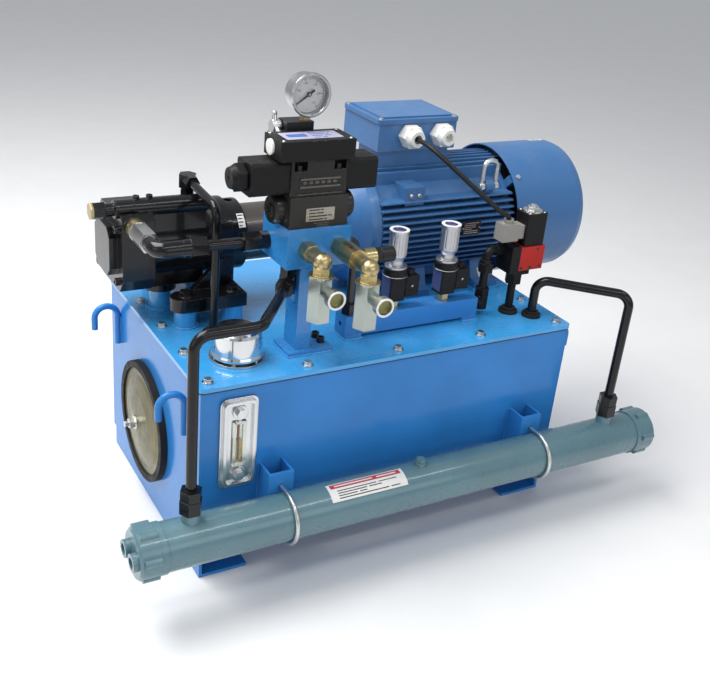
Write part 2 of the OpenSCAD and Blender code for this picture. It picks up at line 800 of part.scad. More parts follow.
module stator_core() {
    color("chocolate") {
        on_axis(112) difference() {
            cylinder(r = 96.9, h = 230);
            translate([0, 0, -1]) cylinder(r = 61, h = 240);
            for (a = [0:15:345]) rotate(a) translate([60, -2, -1]) cube([14, 4, 240]);
        }
        for (x = [86, 341.5]) on_axis(x) tube(90, 66, 26.5);
        // non-drive end plate with its bearing seat
    }
    color("steelblue") on_axis(frame_x1 - 14) difference() {
        cylinder(r = 96.9, h = 14);
        translate([0, 0, -1]) cylinder(r = 25.1, h = 8);
        translate([0, 0, -1]) cylinder(r = 19, h = 20);
    }
}

module terminal_box() {
    color("steelblue") difference() {
        block([box_x0 + 4, box_y0 + 4, box_z0], [box_x1 - 4, box_y1 - 4, box_z1 - 12]);
        block([box_x0 + 9, box_y0 + 9, box_z0 + 5], [box_x1 - 9, box_y1 - 9, box_z1]);
        translate([(box_x0 + box_x1) / 2, axis_y, box_z0 - 5]) cylinder(r = 30, h = 20);
        for (x = gland_xs) translate([x, box_y0 - 2, 738]) rotate([-90, 0, 0])
            cylinder(r = 12.5, h = 20);
    }
    color("goldenrod") block([box_x0 + 50, axis_y + 34, box_z0 + 5],
        [box_x1 - 50, axis_y + 54, box_z0 + 26]);
}

module terminal_box_lid() {
    color("steelblue") translate([(box_x0 + box_x1) / 2, (box_y0 + box_y1) / 2, box_z1 - 12])
        difference() {
            union() {
                rbox([box_x1 - box_x0, box_y1 - box_y0, 9], 9);
                translate([0, 0, 8.9]) rbox([box_x1 - box_x0 - 24, box_y1 - box_y0 - 24, 3.1], 7);
            }
            translate([0, 0, -1]) rbox([box_x1 - box_x0 - 22, box_y1 - box_y0 - 22, 8], 5);
        }
    color("silver") for (sx = [-1, 1], sy = [-1, 1])
        translate([(box_x0 + box_x1) / 2 + sx * (box_x1 - box_x0 - 18) / 2,
            (box_y0 + box_y1) / 2 + sy * (box_y1 - box_y0 - 18) / 2, box_z1 - 3.2])
            cylinder(r = 4.4, h = 3);
}

module cable_glands() {
    color("white") for (x = gland_xs) translate([x, box_y0 + 12, 738]) rotate([90, 0, 0])
        difference() {
            union() {
                cylinder(r = 12.4, h = 10);
                translate([0, 0, 8]) hex(44, 12);
                translate([0, 0, 19.9]) hex(42, 14);
                translate([0, 0, 33.8]) cylinder(r1 = 21, r2 = 16, h = 12);
            }
            translate([0, 0, -1]) cylinder(r = 3, h = 60);
            translate([0, 0, 34]) cylinder(r = 9, h = 20);
        }
}

module lifting_link() {
    // elongated eye swinging on a pin through the lug of the frame
    color("silver") translate(link_p) {
        rotate([0, 90, 0]) cylinder(r = link_pin_r, h = 46, center = true);
        for (s = [-1, 1]) translate([s * 17, 0, 0]) {
            cylinder(r = 5, h = 38);
            rotate([0, 90, 0]) cylinder(r = 9, h = 9, center = true);
        }
        translate([0, 0, 38]) rotate([90, 0, 0]) rotate_extrude(angle = 180)
            translate([17, 0]) circle(r = 5);
    }
}

// ---------- pump ----------
module pump_bracket() {
    color("dimgray") difference() {
        union() {
            // upright with the register for the pump
            block([-262, axis_y - 74, foot_z + 6], [-236, axis_y + 74, axis_z]);
            on_axis(-262) cylinder(r = 76, h = 26);
            on_axis(-237) cylinder(r = 70, h = 32);
            // foot bars along the shaft
            for (s = [-1, 1]) translate([0, axis_y + s * post_dy, foot_z]) {
                block([-348, -24, 0], [-226, 24, foot_t]);
                translate([-348, 0, 0]) cylinder(r = 24, h = foot_t);
            }
            block([-262, axis_y - post_dy, foot_z], [-226, axis_y + post_dy, foot_z + foot_t]);
            // ribs
            for (s = [-1, 1]) translate([0, axis_y + s * 70 + 7, foot_z + foot_t - 1])
                rotate([90, 0, 0]) linear_extrude(14)
                    polygon([[-322, 0], [-240, 0], [-240, 60], [-262, 60]]);
        }
        on_axis(-263) cylinder(r = 50.85, h = 14);
        on_axis(-263) cylinder(r = 48, h = 80);
        for (x = post_xs, s = [-1, 1])
            translate([x, axis_y + s * post_dy, foot_z - 1]) cylinder(d = 14.2, h = 40);
        for (s = [-1, 1]) on_axis(-270) translate([0, s * 62, 0]) cylinder(d = 12, h = 80);
        // inspection window in the hub
        translate([-222, axis_y, axis_z]) rotate([0, 0, 0]) cylinder(r = 9, h = 100);
    }
    color("silver") for (x = post_xs, s = [-1, 1])
        translate([x, axis_y + s * post_dy, foot_z + foot_t]) hex_bolt(13.8, 44, 21, 8, 14);
}

module coupling_tube() {
    color("dimgray") {
        on_axis(-205) difference() {
            cylinder(r = 57, h = 183);
            translate([0, 0, -1]) cylinder(r = 52, h = 200);
        }
    }
}

module coupling_pump() {
    color("darkgray") on_axis(-196) difference() {
        union() {
            cylinder(r = 32, h = 50);
            translate([0, 0, 40]) cylinder(r = 42, h = 16);
            for (a = [0:120:240]) rotate(a + 5) translate([0, 0, 55.8])
                linear_extrude(20) intersection() {
                    difference() { circle(r = 41.8); circle(r = 20); }
                    polygon([[0, 0], [60, 0], [60 * cos(44), 60 * sin(44)]]);
                }
        }
        translate([0, 0, -1]) cylinder(r = 15.9, h = 52);
    }
}

module coupling_spider() {
    color("firebrick") on_axis(-139.8) linear_extrude(19.2)
        for (a = [0:60:300]) intersection() {
            difference() { circle(r = 41); circle(r = 20.4); }
            rotate(a + 50) polygon([[0, 0], [60, 0], [60 * cos(13), 60 * sin(13)]]);
        }
}

module coupling_motor() {
    color("darkgray") on_axis(-64) mirror([0, 0, 1]) difference() {
        union() {
            translate([0, 0, 0]) cylinder(r = 32, h = 50);
            translate([0, 0, 40]) cylinder(r = 42, h = 16);
            for (a = [0:120:240]) rotate(a + 65) translate([0, 0, 55.8])
                linear_extrude(19.6) intersection() {
                    difference() { circle(r = 41.8); circle(r = 20); }
                    polygon([[0, 0], [60, 0], [60 * cos(44), 60 * sin(44)]]);
                }
        }
        translate([0, 0, -1]) cylinder(r = 18.9, h = 52);
    }
}

module pump_body() {
    color("dimgray") difference() {
        union() {
            // mounting flange, two bolts
            on_axis(-282) intersection() {
                union() {
                    cylinder(r = 58, h = 20);
                    for (s = [-1, 1]) translate([0, s * 62, 0]) cylinder(r = 18, h = 20);
                    translate([-34, -62, 0]) cube([68, 124, 20]);
                }
                cylinder(r = 80, h = 20);
            }
            on_axis(-263) cylinder(r = 50.8, h = 11);
            // housing
            on_axis(-396) cylinder(r = 68, h = 118);
            block([-396, axis_y - 50, axis_z - 74], [-290, axis_y + 50, axis_z]);
            block([-396, axis_y - 56, axis_z], [-288, axis_y + 40, axis_z + 74]);
            // rear port block with chamfered corners
            translate([-456, axis_y, axis_z]) rotate([90, 0, 90]) linear_extrude(62)
                polygon([[-76, -46], [-54, -74], [54, -74], [76, -46], [76, 46], [54, 74],
                    [-60, 80], [-76, 66]]);
            translate([-472, axis_y, axis_z]) rotate([90, 0, 90]) linear_extrude(18)
                polygon([[-46, -30], [-30, -48], [30, -48], [46, -30], [46, 30], [30, 48],
                    [-30, 48], [-46, 30]]);
            // suction boss
            translate([suction_x, axis_y, 449]) cylinder(r = 32, h = 40);
            // case drain boss
            translate([case_x, axis_y, 600]) cylinder(r = 16, h = 22);
            translate([port_x, 14, port_z]) rotate([90, 0, 0]) cylinder(r = 21, h = 3);
        }
        // working space
        on_axis(-392) cylinder(r = 46, h = 100);
        on_axis(-293) cylinder(r = 16, h = 50);
        on_axis(-440) cylinder(r = 10, h = 60);
        translate([suction_x, axis_y, 440]) cylinder(r = 21.35, h = 24);
        translate([suction_x, axis_y, 440]) cylinder(r = 16, h = 70);
        translate([case_x, axis_y, 585]) cylinder(r = 5, h = 40);
        translate([case_x, axis_y, 604]) cylinder(r = 9, h = 40);
        translate([port_x, 60, port_z]) rotate([90, 0, 0]) cylinder(r = 8, h = 60);
        translate([port_x, 17.2, port_z]) rotate([90, 0, 0]) cylinder(r = 10, h = 10);
        for (s = [-1, 1]) on_axis(-300) translate([0, s * 62, 0]) cylinder(d = 12, h = 80);
        // seat of the compensator
        translate([0, 44, comp_z]) rotate([0, 90, 0])
            cylinder(r = 17.1, h = 1100, center = true);
    }
    color("silver") {
        for (y = [-56, 56], z = [-52, 50]) on_axis(-456)
            translate([-z, y, 0]) rotate([180, 0, 0]) socket_screw(10, 12);
        for (s = [-1, 1]) on_axis(-282.1) translate([0, s * 62, 0]) rotate([180, 0, 0])
            hex_bolt(11.8, 42, 18, 7, 12);
    }
}

module pump_compensator() {
    color("dimgray") translate([0, 44, comp_z]) rotate([0, 90, 0]) {
        translate([0, 0, -462]) cylinder(r = 17, h = 176);
        translate([0, 0, -480]) cylinder(r = 12, h = 19);
        translate([0, 0, -506]) hex(27, 27);
        translate([0, 0, -287]) cylinder(r = 12, h = 6);
    }
    color("black") for (x = [-420, -395]) translate([x, 44, comp_z + 15]) socket_screw(8, 6);
}

module pump_shaft() {
    color("silver") {
        on_axis(-392 + 24) difference() {
            cylinder(r = 40, h = 50);
            for (a = [0:40:320]) rotate(a) translate([27, 0, -1]) cylinder(r = 7.5, h = 44);
        }
        on_axis(-435) cylinder(r = 9.96, h = 50);
        on_axis(-388) cylinder(r = 13, h = 100);
        on_axis(-292) cylinder(r = 15.96, h = 106 + 38);
        // drive plate
        on_axis(-300) cylinder(r = 32, h = 5);
    }
}

// ---------- valves ----------
module manifold_block() {
    color("dodgerblue") difference() {
        block([mani_x0, mani_y0, mani_z0], [mani_x1, mani_y1, mani_z1]);
        // pressure port and the gallery to the outlets
        translate([mani_x0 - 1, press_y, port_z]) rotate([0, 90, 0]) cylinder(r = 10, h = 12);
        translate([mani_x0 - 1, press_y, port_z]) rotate([0, 90, 0]) cylinder(r = 7, h = 70);
        for (x = [-188, -123]) {
            translate([x, mani_y0 - 1, 611]) rotate([-90, 0, 0]) cylinder(r = 11, h = 13);
            translate([x, mani_y0 - 1, 611]) rotate([-90, 0, 0]) cylinder(r = 7, h = 50);
        }
        translate([mani_x1 + 1, head_y, 600]) rotate([0, -90, 0]) cylinder(r = 9, h = 12);
        translate([mani_x1 + 1, head_y, 600]) rotate([0, -90, 0]) cylinder(r = 5, h = 34);
        translate([-211, -170, mani_z0 - 1]) cylinder(r = 10, h = 13);
        translate([-211, -170, mani_z0 - 1]) cylinder(r = 6, h = 50);
        translate([riser_p[0], riser_p[1], mani_z1 - 12]) cylinder(r = 7, h = 20);
        translate([riser_p[0], riser_p[1], mani_z1 - 40]) cylinder(r = 4, h = 60);
        for (x = [-185, -146]) translate([x, -160, mani_z0 - 1]) cylinder(d = 8.4, h = 16);
        for (p = [[-160, -168], [-160, -128], [-185, -148], [-135, -148]])
            translate([p[0], p[1], mani_z1 - 22]) cylinder(r = 4.5, h = 40);
    }
}

module manifold_stand() {
    color("royalblue") difference() {
        union() {
            block([-215, -200, lid_z], [-123, -136, lid_z + 8]);
            // channel post
            difference() {
                block([-196, -188, lid_z + 7], [-166, -140, mani_z0 - 7]);
                block([-191, -184, lid_z + 8], [-160, -144, mani_z0 - 8]);
            }
            block([-195, -188, mani_z0 - 8], [-132, -140, mani_z0]);
        }
        translate([-211, -170, 500]) cylinder(r = 18, h = 120);
        for (x = [-185, -146]) translate([x, -160, mani_z0 - 12]) cylinder(d = 9, h = 20);
    }
    color("black") {
        for (y = [-172, -150]) translate([-135, y, lid_z + 8]) socket_screw(10, 7.8);
        for (x = [-185, -146]) translate([x, -160, mani_z0 - 8]) rotate([180, 0, 0])
            socket_screw(8, 20);
    }
}

module modular_valve() {
    color("dimgray") difference() {
        union() {
            block([-222, mani_y0 + 4, mani_z1], [-108, stack_y + 38, mod_z1]);
            for (s = [0, 1]) translate([s > 0 ? -108 : -222, stack_y, mani_z1 + 27])
                rotate([0, s > 0 ? 90 : -90, 0]) {
                    cylinder(r = 26, h = 16);
                    translate([0, 0, 15.9]) cylinder(r1 = 26, r2 = 23, h = 5);
                    translate([0, 0, 20]) difference() {
                        cylinder(r = 13, h = 4);
                        translate([0, 0, 1]) hex(12, 5);
                    }
                }
        }
        for (p = [[-160, -168], [-160, -128], [-185, -148], [-135, -148]])
            translate([p[0], p[1], mani_z1 - 1]) cylinder(r = 4.5, h = 14);
    }
}

module valve_body() {
    color("gray") difference() {
        union() {
            translate([-167, stack_y, mod_z1]) rbox([110, 72, 64], 7);
            // cast band along the front
            translate([-167, stack_y - 34, mod_z1 + 5]) rotate([90, 0, 0])
                rbox([86, 1, 5], 0.4);
            block([-206, stack_y - 38.5, mod_z1 + 16], [-128, stack_y - 35, mod_z1 + 19]);
            block([-206, stack_y - 38.5, mod_z1 + 30], [-128, stack_y - 35, mod_z1 + 33]);
        }
        // spool bore
        translate([-240, stack_y, spool_z]) rotate([0, 90, 0]) cylinder(r = 10, h = 150);
        for (x = [-185, -149]) translate([x, stack_y, spool_z]) rotate([0, 90, 0])
            cylinder(r = 14, h = 8);
        // pockets of the fixing screws, open to the front
        for (sx = [-1, 1]) translate([-167 + sx * 38, stack_y - 31, mod_z1 + 46])
            cylinder(r = 13, h = 30);
        for (sx = [-1, 1])
            translate([-167 + sx * 44, stack_y + 27, mod_z1 + 54]) cylinder(d = 11, h = 20);
    }
    color("black") for (sx = [-1, 1]) {
        translate([-167 + sx * 38, stack_y - 28, mod_z1 + 45.9]) cylinder(d = 11, h = 9);
        translate([-167 + sx * 44, stack_y + 27, mod_z1 + 54]) cylinder(d = 10, h = 6);
    }
}

module solenoids() {
    color("black") for (s = [-1, 1]) translate([-167 + s * 55, stack_y, spool_z])
        rotate([0, s * 90, 0]) difference() {
            union() {
                translate([0, 0, 0]) rotate(0) linear_extrude(s > 0 ? 62 : 72) rsquare([58, 60], 8);
                translate([0, 0, s > 0 ? 61.8 : 71.8]) cylinder(r = 17, h = s > 0 ? 8 : 4);
                if (s < 0) {
                    translate([0, 0, 74]) hex(44, 16);
                    translate([0, 0, 89.8]) cylinder(r1 = 21, r2 = 18, h = 10);
                }
            }
            translate([0, 0, -1]) cylinder(r = 12, h = 40);
            translate([0, 0, 30]) cylinder(r = 3.1, h = s > 0 ? 60 : 90);
        }
}

module wiring_box() {
    color("black") {
        difference() {
            block([-246, -188, valve_z1 - 2], [-104, -119, valve_z1 + 33]);
            block([-242, -184, valve_z1 + 2], [-108, -123, valve_z1 + 29]);
            translate([-250, stack_y, valve_z1 + 15.5]) rotate([0, 90, 0]) cylinder(r = 14, h = 10);
        }
        translate([-104.2, stack_y, valve_z1 + 15.5]) rotate([0, 90, 0]) cylinder(r = 12, h = 8);
    }
    color("white") translate([-250, stack_y, valve_z1 + 15.5]) rotate([0, 90, 0])
        cylinder(r = 13.9, h = 8);
}

module valve_spool() {
    color("silver") translate([0, stack_y, spool_z]) rotate([0, 90, 0]) {
        for (x = [-204, -178, -160, -142]) translate([0, 0, x]) cylinder(r = 9.96, h = 12);
        translate([0, 0, -206]) cylinder(r = 5, h = 78);
        for (x = [-316, -129]) translate([0, 0, x])
            cylinder(r = 3, h = x < -200 ? 112 : 72);
    }
}

module gauge_riser() {
    translate([riser_p[0], riser_p[1], 0]) {
        color("dimgray") {
            translate([0, 0, mani_z1 - 11]) tube(7, 3.5, 12);
            translate([0, 0, mani_z1]) drilled_hex(19, 12, 3.5);
            translate([0, 0, mani_z1 + 11.9]) tube(6, 4, lever_z - mani_z1 - 24);
            translate([0, 0, lever_z - 24]) drilled_hex(19, 12, 4);
        }
    }
    color("black") difference() {
        block([-202, -114, lever_z - 13], [-150, -78, lever_z + 12]);
        translate([riser_p[0], riser_p[1], lever_z - 20]) cylinder(r = 4, h = 20);
        translate([-210, lever_y, lever_z]) rotate([0, 90, 0]) cylinder(r = 5.05, h = 36);
        translate([-160, -96, lever_z]) cylinder(r = 4, h = 20);
    }
    color("goldenrod") translate([-160, -96, lever_z + 12]) {
        hex(19, 6);
        translate([0, 0, 5.9]) cylinder(r = 5.5, h = 5);
    }
}

module isolator_lever() {
    color("silver") translate([-204, lever_y, lever_z]) rotate([0, -90, 0]) {
        translate([0, 0, -24]) cylinder(r = 5, h = 34);
        cylinder(r = 11, h = 16);
        for (a = [10, 130, 250]) rotate(a) translate([0, 0, 9]) rotate([0, 90, 0]) {
            cylinder(r1 = 5.4, r2 = 4.2, h = 22);
            translate([0, 0, 22]) sphere(r = 5);
        }
    }
}

module on_gauge() { translate(gauge_p) rotate([0, 0, -gauge_turn]) rotate([90, 0, 0]) children(); }

module gauge_case() {
    color("silver") difference() {
        union() {
            on_gauge() rotate_extrude() polygon([[0, -16], [gauge_r - 9, -16], [gauge_r - 4, -13], [gauge_r - 3, 12],
                [gauge_r, 13], [gauge_r, 21], [gauge_r - 2, 23], [gauge_r - 5, 23],
                [gauge_r - 6, 21], [gauge_r - 6, 8], [0, 8]]);
            translate([gauge_p[0], gauge_p[1], 824]) hex(14, 8);
            translate([gauge_p[0], gauge_p[1], 829]) cylinder(r = 6, h = 8);
        }
        on_gauge() translate([0, 0, -2]) cylinder(r = 1.6, h = 20);
        translate([gauge_p[0], gauge_p[1], 820]) cylinder(r = 5.5, h = 9);
    }
}

module gauge_needle() {
    color("black") on_gauge() {
        translate([0, 0, 1]) cylinder(r = 1.55, h = 12);
        translate([0, 0, 11]) cylinder(r = 4, h = 2.6);
        rotate(36) translate([-30, 0, 11.6]) linear_extrude(1.2)
            polygon([[0, -0.5], [26, -1.6], [42, -2], [42, 2], [26, 1.6], [0, 0.5]]);
    }
}

module outlet_one(x, y, tee) {
    color("goldenrod") {
        difference() {
            union() {
                translate([x, mani_y0 + 10, 611]) rotate([90, 0, 0]) cylinder(r = 11, h = 12);
                translate([x, mani_y0, 611]) rotate([90, 0, 0]) hex(30, 24);
                translate([x, mani_y0 - 23.8, 611]) rotate([90, 0, 0])
                    cylinder(r = 14, h = mani_y0 - 23.8 - y);
                if (tee) translate([x, mani_y0 - 26, 611]) rotate([90, 0, 0]) cylinder(r = 19, h = 48);
                translate([x, y, 611]) sphere(r = 17);
                translate([x, y, 588]) hex(28, 23);
            }
            translate([x, mani_y0 + 20, 611]) rotate([90, 0, 0]) cylinder(r = 6.5, h = mani_y0 + 20 - y);
            translate([x, y, 580]) cylinder(r = 6.5, h = 31);
            if (tee) translate([x - 1, y + 52, 611]) rotate([0, 90, 0]) cylinder(r = 5, h = 50);
        }
    }
    // vertical body with its side outlet
    color("lightsteelblue") difference() {
        union() {
            translate([x, y, 584]) cylinder(r = 22, h = 4.2);
            translate([x, y, 502]) hex(40, 83);
            translate([x, y, 564]) rotate([90, 0, 0]) {
                cylinder(r = 11, h = 44);
                translate([0, 0, 42]) cylinder(r1 = 12, r2 = 17.5, h = 7);
                translate([0, 0, 48.9]) cylinder(r = 17.5, h = 13.1);
            }
        }
        translate([x, y, 510]) cylinder(r = 12, h = 90);
        translate([x, y, 564]) rotate([90, 0, 0]) {
            cylinder(r = 7, h = 70);
            translate([0, 0, 48]) cylinder(r = 13.2, h = 30);
        }
    }
}

module outlet_fittings() {
    outlet_one(-188, -251, false);
    outlet_one(-123, -302, true);
    // test branch of the tee
    y = -250;
    color("white") translate([-123 + 17, y, 611]) rotate([0, 90, 0]) tube(15, 5, 22);
    color("black") {
        translate([-123 + 38.8, y, 611]) rotate([0, 90, 0]) hex(26, 12);
        translate([-123 + 50.6, y, 611]) rotate([0, 90, 0]) cylinder(r = 14, h = 26);
    }
}

module header_block() {
    color("royalblue") difference() {
        union() {
            block([head_x0, head_y - 20, head_z0], [head_x1, head_y + 20, head_z1]);
            for (x = [head_x0, head_x1 - 36])
                block([x, head_y - 24, lid_z], [x + 36, head_y + 20, head_z0 + 1]);
        }
        translate([head_x0 + 10, head_y, head_z0 + 20]) rotate([0, 90, 0])
            cylinder(r = 7, h = head_x1 - head_x0);
        translate([head_x1 - 10, head_y, head_z0 + 20]) rotate([0, 90, 0]) cylinder(r = 9, h = 20);
        for (x = [-62, switch_xs[0], switch_xs[1]])
            translate([x, head_y, head_z0 + 20]) cylinder(r = 5, h = 40);
        for (x = [-62, switch_xs[0], switch_xs[1]])
            translate([x, head_y, head_z1 - 10]) cylinder(r = 8.5, h = 20);
        translate([head_x0 - 1, head_y, head_z0 + 20]) rotate([0, 90, 0]) cylinder(r = 5, h = 6);
    }
    // riser from the end of the manifold
    color("dimgray") {
        difference() {
            union() {
                translate([mani_x1 - 10, head_y, 600]) rotate([0, 90, 0]) cylinder(r = 9, h = 12);
                translate([mani_x1, head_y, 600]) rotate([0, 90, 0]) hex(24, 14);
                translate([mani_x1 + 13, head_y, 600]) rotate([0, 90, 0]) cylinder(r = 11, h = 8);
                translate([-62, head_y, head_z1]) hex(30, 22);
                translate([-62, head_y, head_z1 - 9.9]) cylinder(r = 8.5, h = 12);
            }
            translate([mani_x1 - 20, head_y, 600]) rotate([0, 90, 0]) cylinder(r = 6, h = 60);
            translate([-62, head_y, head_z1 - 20]) cylinder(r = 6, h = 60);
        }
        pipe_run([[mani_x1 + 13, head_y, 600], [-62, head_y, 600], [-62, head_y, head_z1 + 10]],
            8.5, 6, 16);
    }
}

module switch_bodies() {
    for (x = switch_xs) translate([x, head_y, head_z1]) {
        color("goldenrod") difference() {
            union() {
                translate([0, 0, -9.8]) cylinder(r = 8.5, h = 12);
                hex(22, 18);
            }
            translate([0, 0, -20]) cylinder(r = 4, h = 60);
        }
        color("black") {
            difference() {
                union() {
                    translate([0, 0, 17.8]) rbox([36, 36, 54], 5);
                    translate([0, 0, 71]) cylinder(r = 24, h = 13);
                    translate([19, 0, 24]) block([0, -15, 0], [30, 15, 42]);
                    translate([34, 0, 65.8]) cylinder(r = 10, h = 10);
                }
                translate([0, 0, 30]) cylinder(r = 9.05, h = 80);
                translate([34, 0, 60]) cylinder(r = 4, h = 20);
            }
        }
    }
}

module switch_knob(x) {
    color("silver") translate([x, head_y, head_z1 + 84.4]) difference() {
        union() {
            translate([0, 0, -36]) cylinder(r = 9, h = 40);
            cylinder(r = 22, h = 4);
            translate([0, 0, 3.9]) cylinder(r = 14, h = 12);
            translate([0, 0, 15]) cylinder(r1 = 14, r2 = 18.5, h = 10);
            translate([0, 0, 24.9]) cylinder(r = 18.5, h = 46);
            translate([0, 0, 70.8]) cylinder(r1 = 19.5, r2 = 20, h = 5);
        }
        translate([0, 0, 70]) cylinder(r = 13, h = 20);
        for (a = [0:30:330]) rotate(a) translate([21, 0, 28]) cylinder(r = 3.2, h = 38);
    }
}
module switch_knob_left() { switch_knob(switch_xs[0]); }
module switch_knob_right() { switch_knob(switch_xs[1]); }

module unload_valve() {
    y = unload_y;
    color("firebrick") difference() {
        block([308, y - 24, 507], [368, y + 24, 558]);
        translate([340, y, 540]) cylinder(r = 12, h = 30);
        translate([300, y, 530]) rotate([0, 90, 0]) cylinder(r = 6, h = 40);
    }
    color("black") {
        difference() {
            union() {
                block([286, y - 24, 502], [308, y + 26, 560]);
                block([300, y - 20, 496], [340, y + 20, 507]);
            }
            translate([280, head_y, unload_in_z]) rotate([0, 90, 0]) cylinder(r = 6, h = 20);
            translate([280, head_y, unload_in_z]) rotate([0, 90, 0]) cylinder(r = 9, h = 14);
            translate([296, y, 530]) rotate([0, 90, 0]) cylinder(r = 6, h = 20);
            translate([unload_x, y, 480]) cylinder(r = 10, h = 22);
            translate([unload_x, y, 480]) cylinder(r = 6, h = 60);
        }
        // coil
        translate([340, y, 560]) rbox([50, 44, 66], 5);
        translate([340, y, 545]) cylinder(r = 11.9, h = 20);
    }
    color("silver") {
        translate([340, y, 626]) cylinder(r = 20, h = 3);
        translate([340, y, 628.9]) hex(22, 7);
        translate([340, y, 635.8]) cylinder(r = 6, h = 4);
    }
    // plug on the coil
    color("lightgray") {
        block([300, y - 14, 574], [315.2, y + 14, 602]);
        block([262, y - 15, 570], [301, y + 15, 606]);
        difference() {
            translate([282, y, 605.8]) cylinder(r = 10, h = 8);
            translate([282, y, 611]) cylinder(r = 7, h = 5);
        }
    }
}

module unload_line() {
    y = head_y;
    color("dimgray") {
        // header end to the valve inlet
        difference() {
            union() {
                translate([head_x1 - 10, y, head_z0 + 20]) rotate([0, 90, 0]) cylinder(r = 9, h = 12);
                translate([head_x1, y, head_z0 + 20]) rotate([0, 90, 0]) hex(22, 12);
                translate([head_x1 + 10, y, head_z0 + 20]) rotate([0, 90, 0]) cylinder(r = 13, h = 13);
                translate([252, y, head_z0 + 8]) cylinder(r = 14, h = 28);
                translate([252, y, head_z0 + 35]) hex(26, 18);
                translate([252, y, 500]) hex(28, 18);
                translate([252, y, 517.8]) cylinder(r = 13, h = 8);
                translate([270, y, unload_in_z]) rotate([0, 90, 0]) hex(24, 16);
            }
            translate([head_x1 - 20, y, head_z0 + 20]) rotate([0, 90, 0]) cylinder(r = 6, h = 43);
            translate([252, y, head_z0 + 20]) cylinder(r = 6, h = 120);
            translate([262, y, unload_in_z]) rotate([0, 90, 0]) cylinder(r = 6, h = 30);
        }
        pipe_run([[252, y, head_z0 + 36], [252, y, unload_in_z], [294, y, unload_in_z]], 9, 6, 14);
        // valve outlet down through the lid
        translate([unload_x, unload_y, 0]) difference() {
            union() {
                translate([0, 0, 330]) cylinder(r = 8.5, h = 143);
                translate([0, 0, 472]) hex(30, 24);
                translate([0, 0, 495]) cylinder(r = 10, h = 6);
            }
            translate([0, 0, 320]) cylinder(r = 6.5, h = 200);
        }
    }
}

// tube swept along the points, with a ring of corners at each
module valve_cable() {
    sides = 10;
    n = len(cable_pts);
    heading = [for (i = [0:n - 1])
        unit(cable_pts[min(i + 1, n - 1)] - cable_pts[max(i - 1, 0)])];
    ring = [for (i = [0:n - 1]) let (a = unit(cross(heading[i], [0.6, -0.5, 0.1])),
        b = cross(heading[i], a)) each [for (k = [0:sides - 1])
            cable_pts[i] + cable_d / 2 * (cos(360 * k / sides) * a + sin(360 * k / sides) * b)]];
    skin = [for (i = [0:n - 2], k = [0:sides - 1]) let (m = (k + 1) % sides, a = i * sides,
        b = a + sides) each [[a + k, a + m, b + m], [a + k, b + m, b + k]]];
    ends = [[for (k = [sides - 1:-1:0]) k], [for (k = [0:sides - 1]) (n - 1) * sides + k]];
    color("black") polyhedron(ring, concat(skin, ends));
}

tank_shell();
tank_lid();
lid_gasket();
lid_bolts();
tank_feet();
lifting_hooks();
cleanout_cover();
cleanout_seal();
cleanout_bolt();
level_gauge_frame();
level_gauge_window();
lid_grommets();
breather_base();
breather_cap();
cooler_shell();
cooler_caps();
cooler_tubes();
cooler_ubolts();
return_line();
tank_line();
pressure_line();
drain_line();
suction_pipe();
motor_frame();
motor_shield();
fan_cowl();
cooling_fan();
rotor_shaft();
stator_core();
terminal_box();
terminal_box_lid();
cable_glands();
lifting_link();
pump_bracket();
coupling_tube();
coupling_motor();
coupling_spider();
coupling_pump();
pump_body();
pump_compensator();
pump_shaft();
manifold_block();
manifold_stand();
modular_valve();
valve_body();
solenoids();
wiring_box();
valve_spool();
gauge_riser();
isolator_lever();
gauge_case();
gauge_needle();
outlet_fittings();
header_block();
switch_bodies();
switch_knob_left();
switch_knob_right();
unload_valve();
unload_line();
valve_cable();
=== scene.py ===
import bpy
import bmesh
import math
from mathutils import Matrix, Vector


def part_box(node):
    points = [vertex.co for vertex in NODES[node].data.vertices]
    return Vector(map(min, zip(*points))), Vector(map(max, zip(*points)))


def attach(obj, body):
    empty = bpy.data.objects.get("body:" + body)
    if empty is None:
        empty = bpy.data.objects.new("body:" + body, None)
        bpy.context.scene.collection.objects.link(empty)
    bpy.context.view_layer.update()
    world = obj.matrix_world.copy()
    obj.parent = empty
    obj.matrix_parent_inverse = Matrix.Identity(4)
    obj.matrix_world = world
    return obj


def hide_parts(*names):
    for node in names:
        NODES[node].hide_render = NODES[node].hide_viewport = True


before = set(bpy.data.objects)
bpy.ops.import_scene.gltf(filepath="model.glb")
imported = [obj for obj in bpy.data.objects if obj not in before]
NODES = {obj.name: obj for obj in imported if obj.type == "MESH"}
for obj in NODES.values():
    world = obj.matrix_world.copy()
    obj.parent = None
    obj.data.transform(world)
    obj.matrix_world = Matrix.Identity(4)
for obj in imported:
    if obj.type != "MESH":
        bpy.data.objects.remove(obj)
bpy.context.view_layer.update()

# ---------- units, directions and shared places ----------
# Lengths and places are in millimetres of the row frame, and mm() turns a place into metres.
MM = 0.001
FAR = 9000.0
X, Y, Z = Vector((1, 0, 0)), Vector((0, 1, 0)), Vector((0, 0, 1))
ALONG_X, ALONG_Y, ALONG_Z = 0, 1, 2


def mm(*p):
    return Vector(p) * MM


def axes(normal, up):
    """3x3 with columns: across, up, normal."""
    n = normal.normalized()
    u = (up - up.dot(n) * n).normalized()
    return Matrix((u.cross(n), u, n)).transposed()


FRONT, TOP, LEFT, RIGHT = axes(-Y, Z), axes(Z, Y), axes(-X, Z), axes(X, Z)

# the shaft of the motor and pump, and the cooler, both along X
SHAFT_Y, SHAFT_Z = 88, 545
COOLER_Y, COOLER_Z = -329.5, 153
# the two pressure switches, and the vertical bodies of the two outlet fittings
SWITCH_X = (33, 152)
OUTLETS = (("left", -188, -251), ("right", -123, -302))
WIRING_BOX_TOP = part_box("wiring_box")[1].z / MM


